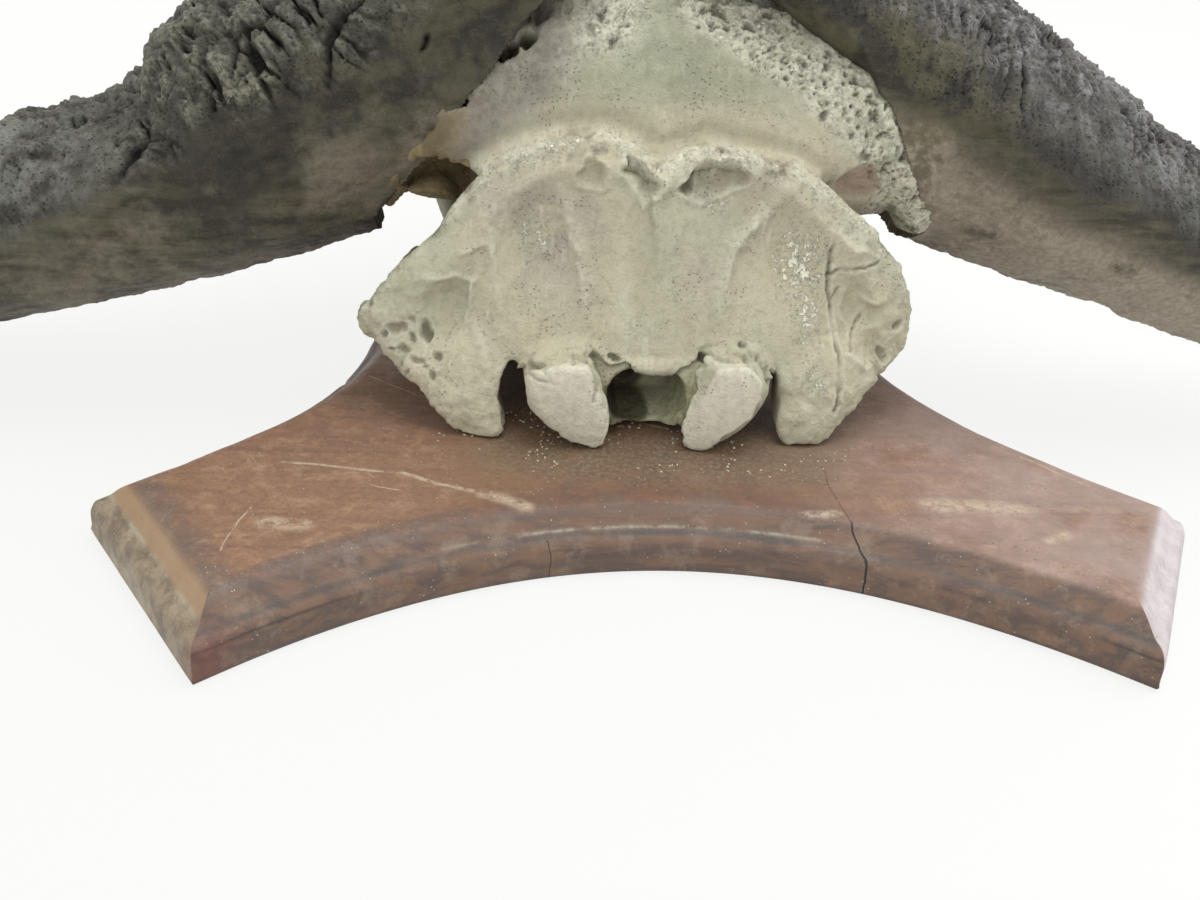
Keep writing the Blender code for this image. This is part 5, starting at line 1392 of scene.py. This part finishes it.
def make_horn(side_name, side, settings, material):
    """One horn in three lengths that meet without a seam."""
    share = 1.0
    columns = int(settings.horn_columns * share)
    turns = np.arange(columns) * 2 * math.pi / columns
    angles = turns + CROWDING * np.sin(turns)
    cap = int(ROOT_RINGS * share)
    counts = [int(number * share) for number in LENGTH_RINGS]
    places = [np.zeros(cap)]
    for (start, end), number in zip(zip(HORN_ENDS, HORN_ENDS[1:]), counts):
        places.append(np.linspace(start, end, number, endpoint=False))
    places.append(np.array([HORN_ENDS[-1]]))
    places = np.concatenate(places)
    shrink = np.ones(len(places))
    shrink[:cap] = np.sin(np.linspace(0.06, 0.5, cap, endpoint=False) * math.pi) ** 0.8
    points, along, rows = horn_rings(side, places, shrink, angles)
    bulge = np.cos(np.linspace(0.0, 0.5, cap, endpoint=False) * math.pi)
    points[:cap, :, 0] -= ROOT_BULGE * bulge[:, None]
    move, attributes = horn_surface(points, along, rows, angles, side)
    move[:cap] *= np.linspace(0.2, 1.0, cap)[:, None]
    normals = grid_normals(points)
    points = points + normals * move[..., None]
    points[..., 0] = np.maximum(points[..., 0], HORN_GAP)
    world = to_world(points, side)
    limit = cad_box[1].x if side > 0 else -cad_box[0].x
    over = max((side * world[..., 0]).max() - limit, 0)
    world[..., 0] -= side * over * smooth_step(0.3, limit, side * world[..., 0])
    breaks = [0, cap + counts[0], cap + counts[0] + counts[1], len(places) - 1]
    for part, low, high in zip(HORN_LENGTHS, breaks, breaks[1:]):
        ring = world[low:high + 1]
        flat = ring.reshape(-1, 3)
        caps = np.stack([ring[0].mean(axis=0), ring[-1].mean(axis=0)])
        total = len(flat)
        faces = tube_faces(len(ring), columns, total, total + 1)
        if side < 0:
            faces = [tuple(reversed(face)) for face in faces]
        pick = slice(low * columns, (high + 1) * columns)
        numbers = {}
        for key, values in attributes.items():
            mine = values[pick]
            numbers[key] = np.concatenate([mine, [mine[0], mine[-1]]])
        node = "horn_" + part + "_" + side_name
        data = mesh_from("sheath_" + node, np.vstack([flat, caps]), faces, numbers)
        data.set_sharp_from_angle(angle=math.radians(80))
        add_piece("sheath_" + part + "_" + side_name, data, material, [node])


# Plaque

SHIELD_CENTRE = (0.0, -0.06)
# Height over the back, and how far the moulding lies in from the outline
MOULDING = (
    (0.0, 0.0012), (0.0025, 0.0), (0.01, 0.0), (0.014, 0.0012), (0.0168, 0.0035),
    (0.0182, 0.0066), (0.02, 0.0086), (0.0238, 0.0122), (0.0262, 0.0155), (0.027, 0.0185),
)
MOULDING_RINGS = 44
FACE_RINGS = 46
SHIELD_SPACING = 0.0022
# Place of the redder stain at the left ear's corner
RED_CORNER = (-0.182, -0.328, 0.009)


def shield_runs():
    """Stretches of the plaque's outline between its sharp corners, read from its solid."""
    mesh = merged("shield_plaque")
    level = MOULDING[2][0]
    ring = [v.co.to_2d() for v in mesh.verts if abs(v.co.z - level) < 0.0002]
    mesh.free()
    ring.sort(key=lambda p: math.atan2(p.y - SHIELD_CENTRE[1], p.x - SHIELD_CENTRE[0]))
    count = len(ring)
    corners = []
    for i in range(count):
        before = ring[i] - ring[i - 1]
        after = ring[(i + 1) % count] - ring[i]
        if before.angle(after) > math.radians(25):
            corners.append(i)
    runs = []
    for start, end in zip(corners, corners[1:] + [corners[0] + count]):
        run = np.array([tuple(ring[i % count]) for i in range(start, end + 1)])
        runs.append(catmull(run, np.linspace(0, len(run) - 1, 40 * len(run))) if len(run) > 2 else run)
    return runs


def shield_ring(runs, margin, spacing):
    """Outline moved in by a margin, each stretch cut back to the mitres at its corners."""
    points = []
    for index, run in enumerate(runs):
        before = runs[index - 1]
        after = runs[(index + 1) % len(runs)]
        steps = np.diff(run, axis=0)
        lengths = np.concatenate([[0.0], np.cumsum(np.linalg.norm(steps, axis=1))])
        ends = []
        for a, b in ((before[-1] - before[-2], steps[0]), (steps[-1], after[1] - after[0])):
            turn = math.atan2(a[0] * b[1] - a[1] * b[0], a @ b)
            ends.append(margin * math.tan(turn / 2))
        number = max(3, int(lengths[-1] / spacing))
        at = np.linspace(ends[0], lengths[-1] - ends[1], number, endpoint=False)
        inside = np.clip(at, 0, lengths[-1])
        place = np.stack([np.interp(inside, lengths, run[:, k]) for k in (0, 1)], axis=1)
        middle = (lengths[1:] + lengths[:-1]) / 2
        along = np.stack([np.interp(inside, middle, steps[:, k] / np.diff(lengths)) for k in (0, 1)], axis=1)
        inward = np.stack([-along[:, 1], along[:, 0]], axis=1)
        points.append(place + along * (at - inside)[:, None] + inward * margin)
    return np.concatenate(points)


def plaque_grid(runs):
    """Rings of points on the plaque's moulding and face, and how far in from its outline they lie."""
    spacing = SHIELD_SPACING
    profile = catmull(MOULDING, np.linspace(0, len(MOULDING) - 1, MOULDING_RINGS))
    outlines = [shield_ring(runs, margin, spacing) for _, margin in profile]
    inner = outlines[-1]
    count = len(inner)
    to_centre = np.array(SHIELD_CENTRE) - inner
    rings = [np.column_stack([ring, np.full(count, height)]) for ring, (height, _) in zip(outlines, profile)]
    inset = [np.full(count, margin) for _, margin in profile]
    for k in range(1, FACE_RINGS):
        share = k / FACE_RINGS
        rings.append(np.column_stack([inner + to_centre * share, np.full(count, profile[-1][0])]))
        inset.append(profile[-1][1] + share * np.linalg.norm(to_centre, axis=1))
    return np.array(rings), np.concatenate(inset)


def plaque_relief(points, runs):
    """How far each point of the plaque moves out: waves, dented edges and worn corners."""
    corner = np.zeros(len(points))
    for run in runs:
        corner = np.maximum(corner, bump(np.linalg.norm(points[:, :2] - run[0], axis=1), 0, 0.0035))
    z = points[:, 2]
    wave = layered(points, 0.045, 301, 4) * 0.0004 + layered(points, 0.009, 305, 3) * 0.00018
    dents = smooth_step(0.3, 0.1, cells(points, 0.024, 310)[0])
    dents = dents * smooth_step(0.1, 0.4, noise(points, 0.05, 311))
    edge = smooth_step(PLAQUE_HIGH.z, PLAQUE_HIGH.z - 0.002, z)
    return (wave - dents * edge * 0.0009 - corner * 0.0012 - 0.0005) * smooth_step(0.0, 0.004, z)


def plaque_marks(points, inset, facing):
    """Numbers that the plaque's material reads. Facing is 1 on an edge that faces right, -1 facing left."""
    x, y, z = points.T
    ear = smooth_step(PLAQUE_HIGH.z, PLAQUE_HIGH.z - 0.003, z)
    near = smooth_step(-0.22, -0.235, y)
    facing = facing * (np.abs(x) > 0.15) * (y < -0.2) * (facing * x > 0)
    left_face = smooth_step(-0.45, -0.7, facing)
    line = bump(z, 0.0187, 0.0005) * ear * near * smooth_step(-0.13, -0.05, x) * smooth_step(0.1, 0.04, x)
    # Painted shade in the moulding's grooves and along the bottom edge.
    groove = bump(z, 0.0172, 0.0009) * (0.7 + 0.5 * noise(points, 0.02, 316)) + bump(z, 0, 0.0015)
    groove += bump(z, 0.0128, 0.0006) * smooth_step(0.0, 0.4, noise(points, 0.03, 317))
    shoulder = smooth_step(0.011, 0.016, inset) * smooth_step(0.033, 0.02, inset)
    from_skull = np.hypot(np.maximum(0, np.abs(x) - 0.06), y - SKULL_BACK_Y)
    return {
        "ear_left": ear * left_face,
        # The ear's edge that faces right: pale with dust and a painted highlight.
        "ear_right_dust_and_light": ear * smooth_step(0.45, 0.7, facing),
        "dust_line": np.clip(line, 0, 1) + bump(z, 0.0192, 0.0007) * 0.8 * left_face,
        "groove": np.clip(groove, 0, 1) * smooth_step(-0.0002, 0.0006, z),
        "shoulder": shoulder * near * smooth_step(0.16, 0.02, x) * 0.85,
        "crumbs": bump(np.maximum(0, from_skull - 0.012), 0, 0.021),
        "red": bump(np.linalg.norm(points - np.array(RED_CORNER), axis=1), 0, 0.011),
    }


def make_plaque(settings):
    """Shield plaque with a stepped edge, worn corners and a slightly wavy face."""
    runs = shield_runs()
    grid, inset = plaque_grid(runs)
    rows, count, _ = grid.shape
    flat = grid.reshape(-1, 3)
    total = len(flat)
    normals = grid_normals(grid).reshape(-1, 3)
    moved = flat + normals * plaque_relief(flat, runs)[:, None]
    moved[:, 2] = np.minimum(moved[:, 2], PLAQUE_HIGH.z)
    points = np.vstack([moved, (*SHIELD_CENTRE, PLAQUE_HIGH.z - 0.0004), (*SHIELD_CENTRE, 0.0)])
    faces = [tuple(reversed(face)) for face in tube_faces(rows, count, total + 1, total)]
    facing = normals[:, 0] / (np.hypot(normals[:, 0], normals[:, 1]) + 1e-9)
    marks = plaque_marks(points, np.append(inset, [inset.max()] * 2), np.append(facing, [0.0, 0.0]))
    data = mesh_from("plaque", points, faces, marks)
    data.set_sharp_from_angle(angle=math.radians(38))
    add_piece("plaque_shield", data, wood_material(settings), ["shield_plaque"])


# Crumbs

CRUMB_SEEDS = (11, 12, 13)
# The sheet that crumbs are strewn over: reach in x, half width in y, and points along both
CRUMB_X = (-0.13, 0.12)
CRUMB_HALF_Y = 0.045
CRUMB_COLUMNS = 81
CRUMB_ROWS = 41


def crumb_tree(material):
    """Node tree that strews small flattened crumbs over a sheet, closest where its mask is high."""
    tree = bpy.data.node_groups.new("strewn_crumbs", "GeometryNodeTree")
    tree.interface.new_socket("Sheet", in_out="INPUT", socket_type="NodeSocketGeometry")
    tree.interface.new_socket("Density", in_out="INPUT", socket_type="NodeSocketFloat")
    tree.interface.new_socket("Size", in_out="INPUT", socket_type="NodeSocketFloat")
    tree.interface.new_socket("Crumbs", in_out="OUTPUT", socket_type="NodeSocketGeometry")

    def add(kind, inputs=None, **settings):
        return new_node(tree, kind, inputs, **settings).outputs

    start = add("NodeGroupInput")
    near = add("GeometryNodeInputNamedAttribute", {"Name": "near"}, data_type="FLOAT")
    density = add("ShaderNodeMath", {0: start[1], 1: near[0]}, operation="MULTIPLY")
    spread = add("GeometryNodeDistributePointsOnFaces",
                 {"Mesh": start[0], "Density": density[0], "Seed": CRUMB_SEEDS[0]})
    turn = add("FunctionNodeRandomValue",
               {0: (-0.5, -0.5, 0.0), 1: (0.5, 0.5, 6.28), "Seed": CRUMB_SEEDS[1]}, data_type="FLOAT_VECTOR")
    stretch = add("FunctionNodeRandomValue", {0: (0.3, 0.3, 0.3), 1: (1.3, 1.1, 0.8),
                                              "Seed": CRUMB_SEEDS[2]}, data_type="FLOAT_VECTOR")
    crumb = add("GeometryNodeMeshIcoSphere", {"Radius": start[2], "Subdivisions": 1})
    laid = add("GeometryNodeInstanceOnPoints", {"Points": spread[0], "Instance": crumb[0],
                                                "Rotation": turn[0], "Scale": stretch[0]})
    real = add("GeometryNodeRealizeInstances", {"Geometry": laid[0]})
    done = add("GeometryNodeSetMaterial", {"Geometry": real[0], "Material": material})
    add("NodeGroupOutput", {0: done[0]})
    return tree


def crumb_material():
    """Dry grey brown crumbs of bone and dirt."""
    n = Nodes("crumbs_dry")
    colour = n.mix(n.ramp(n.noise(500.0, 2.0, 0.5), 0.42, 0.58), (0.52, 0.48, 0.35), (0.23, 0.2, 0.125))
    return n.finish(colour, 0.85)


def make_crumbs(settings):
    """Crumbs that have dropped on the plaque's face round the nape."""
    plaque = bpy.data.objects["plaque_shield"]
    bpy.context.view_layer.update()
    points = []
    for y in np.linspace(SKULL_BACK_Y - CRUMB_HALF_Y, SKULL_BACK_Y + CRUMB_HALF_Y, CRUMB_ROWS):
        for x in np.linspace(*CRUMB_X, CRUMB_COLUMNS):
            hit, place, _, _ = plaque.ray_cast(Vector((x, y, PLAQUE_HIGH.z + 0.01)), Vector((0, 0, -1)))
            points.append((x, y, place.z if hit else 0.0))
    points = np.array(points)
    starts = np.arange(CRUMB_ROWS * CRUMB_COLUMNS).reshape(CRUMB_ROWS, CRUMB_COLUMNS)[:-1, :-1].ravel()
    faces = [(i, i + 1, i + CRUMB_COLUMNS + 1, i + CRUMB_COLUMNS) for i in starts.tolist()]
    x, y, z = points.T
    reach = np.hypot(np.maximum(0, np.abs(x + 0.004) - 0.07), y - SKULL_BACK_Y - 0.01)
    near = bump(np.maximum(0, reach - 0.014), 0, 0.012) * (z > PLAQUE_HIGH.z - 0.002)
    near = near * smooth_step(-0.3, 0.5, noise(points, 0.018, 321))
    sheet = bpy.data.objects.new("sheet", mesh_from("sheet", points, faces, {"near": near}))
    bpy.context.scene.collection.objects.link(sheet)
    material = crumb_material()
    tree = crumb_tree(material)
    strewn = sheet.modifiers.new("strewn", "NODES")
    strewn.node_group = tree
    strewn[tree.interface.items_tree["Density"].identifier] = settings.crumb_density
    strewn[tree.interface.items_tree["Size"].identifier] = settings.crumb_size
    made = bpy.data.meshes.new_from_object(sheet.evaluated_get(bpy.context.evaluated_depsgraph_get()))
    made.name = "crumbs"
    sheet.modifiers.remove(strewn)
    bpy.data.objects.remove(sheet)
    bpy.data.node_groups.remove(tree)
    add_piece("crumbs_dry", made, material)


# Stage

CAMERA_PLACE = Vector((-0.0917, -0.6955, 0.3015))
CAMERA_YAW = math.radians(7.31)
CAMERA_PITCH = math.radians(28.447)
CAMERA_ROLL = math.radians(-5.009)
# Studio lights: name, place, target, size and share of the key light's power
LIGHTS = (
    ("light_above", (0.3, 0.05, 1.8), (0, 0, 0), 1.2, 1.0),
    ("light_right", (1.5, 0.2, 0.9), (0, 0, 0.05), 0.8, 0.45),
    ("light_front", (-0.8, -1.5, 1.1), (0, 0, 0.1), 1.0, 0.3),
)
# Half the floor's side, and how far it lies under the plaque
FLOOR_HALF = 60.0
FLOOR_DROP = 0.0004


def make_camera(settings):
    """Camera at the photograph's place and angle."""
    forward = Vector((math.sin(CAMERA_YAW) * math.cos(CAMERA_PITCH),
                      math.cos(CAMERA_YAW) * math.cos(CAMERA_PITCH), -math.sin(CAMERA_PITCH)))
    level = Vector((math.cos(CAMERA_YAW), -math.sin(CAMERA_YAW), 0))
    down = forward.cross(level)
    right = math.cos(CAMERA_ROLL) * level + math.sin(CAMERA_ROLL) * down
    down = -math.sin(CAMERA_ROLL) * level + math.cos(CAMERA_ROLL) * down
    data = bpy.data.cameras.new("camera")
    data.lens = settings.lens
    data.sensor_width = 36.0
    data.sensor_fit = "HORIZONTAL"
    data.clip_start = 0.01
    camera = bpy.data.objects.new("camera", data)
    turn = Matrix((right, -down, -forward)).transposed().to_4x4()
    camera.matrix_world = Matrix.Translation(CAMERA_PLACE) @ turn
    bpy.context.scene.collection.objects.link(camera)
    bpy.context.scene.camera = camera


def add_light(name, place, target, size, power):
    """Square soft light that faces a target."""
    data = bpy.data.lights.new(name, "AREA")
    data.size = size
    data.energy = power
    light = bpy.data.objects.new(name, data)
    bpy.context.scene.collection.objects.link(light)
    place = Vector(place)
    light.matrix_world = (Matrix.Translation(place)
                          @ (place - Vector(target)).to_track_quat("Z", "Y").to_matrix().to_4x4())


def make_stage(settings):
    """Pale floor that glows so that its shadows stay soft, the studio light and the camera."""
    mesh = bmesh.new()
    bmesh.ops.create_grid(mesh, x_segments=1, y_segments=1, size=FLOOR_HALF)
    data = bpy.data.meshes.new("floor")
    mesh.to_mesh(data)
    mesh.free()
    floor = bpy.data.objects.new("floor", data)
    floor.location.z = -FLOOR_DROP
    bpy.context.scene.collection.objects.link(floor)
    pale = bpy.data.materials.new("floor_pale")
    pale.use_nodes = True
    shader = pale.node_tree.nodes["Principled BSDF"]
    shader.inputs["Base Color"].default_value = (0.06, 0.06, 0.059, 1)
    shader.inputs["Roughness"].default_value = 0.7
    shader.inputs["Emission Color"].default_value = (1.0, 1.0, 0.985, 1)
    shader.inputs["Emission Strength"].default_value = settings.floor_glow
    data.materials.append(pale)
    world = bpy.data.worlds.new("studio")
    world.use_nodes = True
    background = world.node_tree.nodes["Background"]
    background.inputs["Color"].default_value = (1.0, 1.0, 0.99, 1)
    background.inputs["Strength"].default_value = settings.world_light
    bpy.context.scene.world = world
    for name, place, target, size, share in LIGHTS:
        add_light(name, place, target, size, settings.key_light * share)
    bpy.context.scene.view_settings.view_transform = "Standard"
    make_camera(settings)


# The add-on

def colour_property(name, description, value):
    """Colour that a user may change."""
    return bpy.props.FloatVectorProperty(name=name, description=description, subtype="COLOR", size=3,
                                         min=0.0, max=1.0, default=value)


class BoneSettings(bpy.types.PropertyGroup):
    """Sizes and colours of the bone."""

    bone_voxel: bpy.props.FloatProperty(
        name="Bone grain", description="Spacing of the fine bone mesh", default=0.00199, min=0.0008,
        subtype="DISTANCE", unit="LENGTH")
    bone: colour_property("Bone", "Main colour of the dry bone", (0.48, 0.44, 0.31))
    bone_green: colour_property("Bone, greener", "Greener patches of the bone", (0.455, 0.445, 0.315))
    bone_purple: colour_property("Bone, purple", "Purple grey patches of the bone", (0.33, 0.295, 0.255))
    bone_pale: colour_property("Bone, pale", "Worn crest and edges", (0.66, 0.645, 0.51))


class HornSettings(bpy.types.PropertyGroup):
    """Sizes and colours of the horns."""

    horn_columns: bpy.props.IntProperty(
        name="Points round a horn", description="Points in each ring of a horn", default=288, min=24)
    horn_dark: colour_property("Horn, dark", "Darkest horn", (0.032, 0.031, 0.023))
    horn_grey: colour_property("Horn, grey", "Weathered grey horn", (0.084, 0.083, 0.06))
    horn_dust: colour_property("Horn, dust", "Dust on the horns' ridges", (0.225, 0.22, 0.165))


class PlaqueSettings(bpy.types.PropertyGroup):
    """Colours of the plaque and its crumbs' number and size."""

    crumb_density: bpy.props.FloatProperty(
        name="Crumb density", description="Crumbs to a square metre, where they lie closest", default=90000.0,
        min=0.0)
    crumb_size: bpy.props.FloatProperty(
        name="Crumb size", description="Radius of the larger crumbs", default=0.0008, min=0.0001,
        subtype="DISTANCE", unit="LENGTH")
    wood_red: colour_property("Wood, red", "Redder stain", (0.205, 0.108, 0.06))
    wood_brown: colour_property("Wood, brown", "Browner stain", (0.185, 0.1, 0.062))


class StageSettings(bpy.types.PropertyGroup):
    """Camera and light."""

    lens: bpy.props.FloatProperty(
        name="Lens", description="Focal length of the camera in millimetres", default=37.03, min=10.0)
    world_light: bpy.props.FloatProperty(
        name="Surrounding light", description="Strength of the light from all round", default=0.95, min=0.0)
    floor_glow: bpy.props.FloatProperty(
        name="Floor glow", description="Light that the floor gives off itself", default=0.83, min=0.0)
    key_light: bpy.props.FloatProperty(
        name="Key light", description="Power of the soft light above", default=22.0, min=0.0,
        subtype="POWER", unit="POWER")


class SKULL_OT_bones(bpy.types.Operator):
    """Make the fine bones of the skull"""

    bl_idname = "skull_mount.bones"
    bl_label = "Bones"

    def execute(self, context):
        make_bones(context.scene.skull_bone)
        return {"FINISHED"}


class SKULL_OT_horns(bpy.types.Operator):
    """Make both horns with their bosses"""

    bl_idname = "skull_mount.horns"
    bl_label = "Horns"

    def execute(self, context):
        settings = context.scene.skull_horn
        material = horn_material(settings)
        for side_name, side in SIDES:
            make_horn(side_name, side, settings, material)
        return {"FINISHED"}


class SKULL_OT_plaque(bpy.types.Operator):
    """Make the worn shield plaque"""

    bl_idname = "skull_mount.plaque"
    bl_label = "Plaque"

    def execute(self, context):
        make_plaque(context.scene.skull_plaque)
        return {"FINISHED"}


class SKULL_OT_crumbs(bpy.types.Operator):
    """Strew dry crumbs on the plaque, round the nape"""

    bl_idname = "skull_mount.crumbs"
    bl_label = "Crumbs"

    def execute(self, context):
        make_crumbs(context.scene.skull_plaque)
        return {"FINISHED"}


class SKULL_OT_stage(bpy.types.Operator):
    """Make the floor, the light and the camera"""

    bl_idname = "skull_mount.stage"
    bl_label = "Stage"

    def execute(self, context):
        make_stage(context.scene.skull_stage)
        return {"FINISHED"}


OPERATORS = (SKULL_OT_stage, SKULL_OT_plaque, SKULL_OT_crumbs, SKULL_OT_horns, SKULL_OT_bones)
SETTINGS = (("skull_bone", BoneSettings), ("skull_horn", HornSettings), ("skull_plaque", PlaqueSettings),
            ("skull_stage", StageSettings))


class SKULL_PT_panel(bpy.types.Panel):
    """Lists the pieces of the mount and their settings"""

    bl_label = "Skull Mount"
    bl_idname = "SKULL_PT_panel"
    bl_space_type = "VIEW_3D"
    bl_region_type = "UI"
    bl_category = "Skull Mount"

    def draw(self, context):
        for operator in OPERATORS:
            self.layout.operator(operator.bl_idname)
        for name, group in SETTINGS:
            box = self.layout.box()
            for key in group.__annotations__:
                box.prop(getattr(context.scene, name), key)


def register():
    """Register the settings, the operators and the panel."""
    for name, group in SETTINGS:
        bpy.utils.register_class(group)
        setattr(bpy.types.Scene, name, bpy.props.PointerProperty(type=group))
    for made in OPERATORS + (SKULL_PT_panel,):
        bpy.utils.register_class(made)


def unregister():
    """Undo register."""
    for made in (SKULL_PT_panel,) + tuple(reversed(OPERATORS)):
        bpy.utils.unregister_class(made)
    for name, group in reversed(SETTINGS):
        delattr(bpy.types.Scene, name)
        bpy.utils.unregister_class(group)


def main():
    """Make every piece in order."""
    register()
    bpy.ops.skull_mount.stage()
    bpy.ops.skull_mount.plaque()
    bpy.ops.skull_mount.crumbs()
    bpy.ops.skull_mount.horns()
    bpy.ops.skull_mount.bones()


if __name__ == "__main__":
    main()
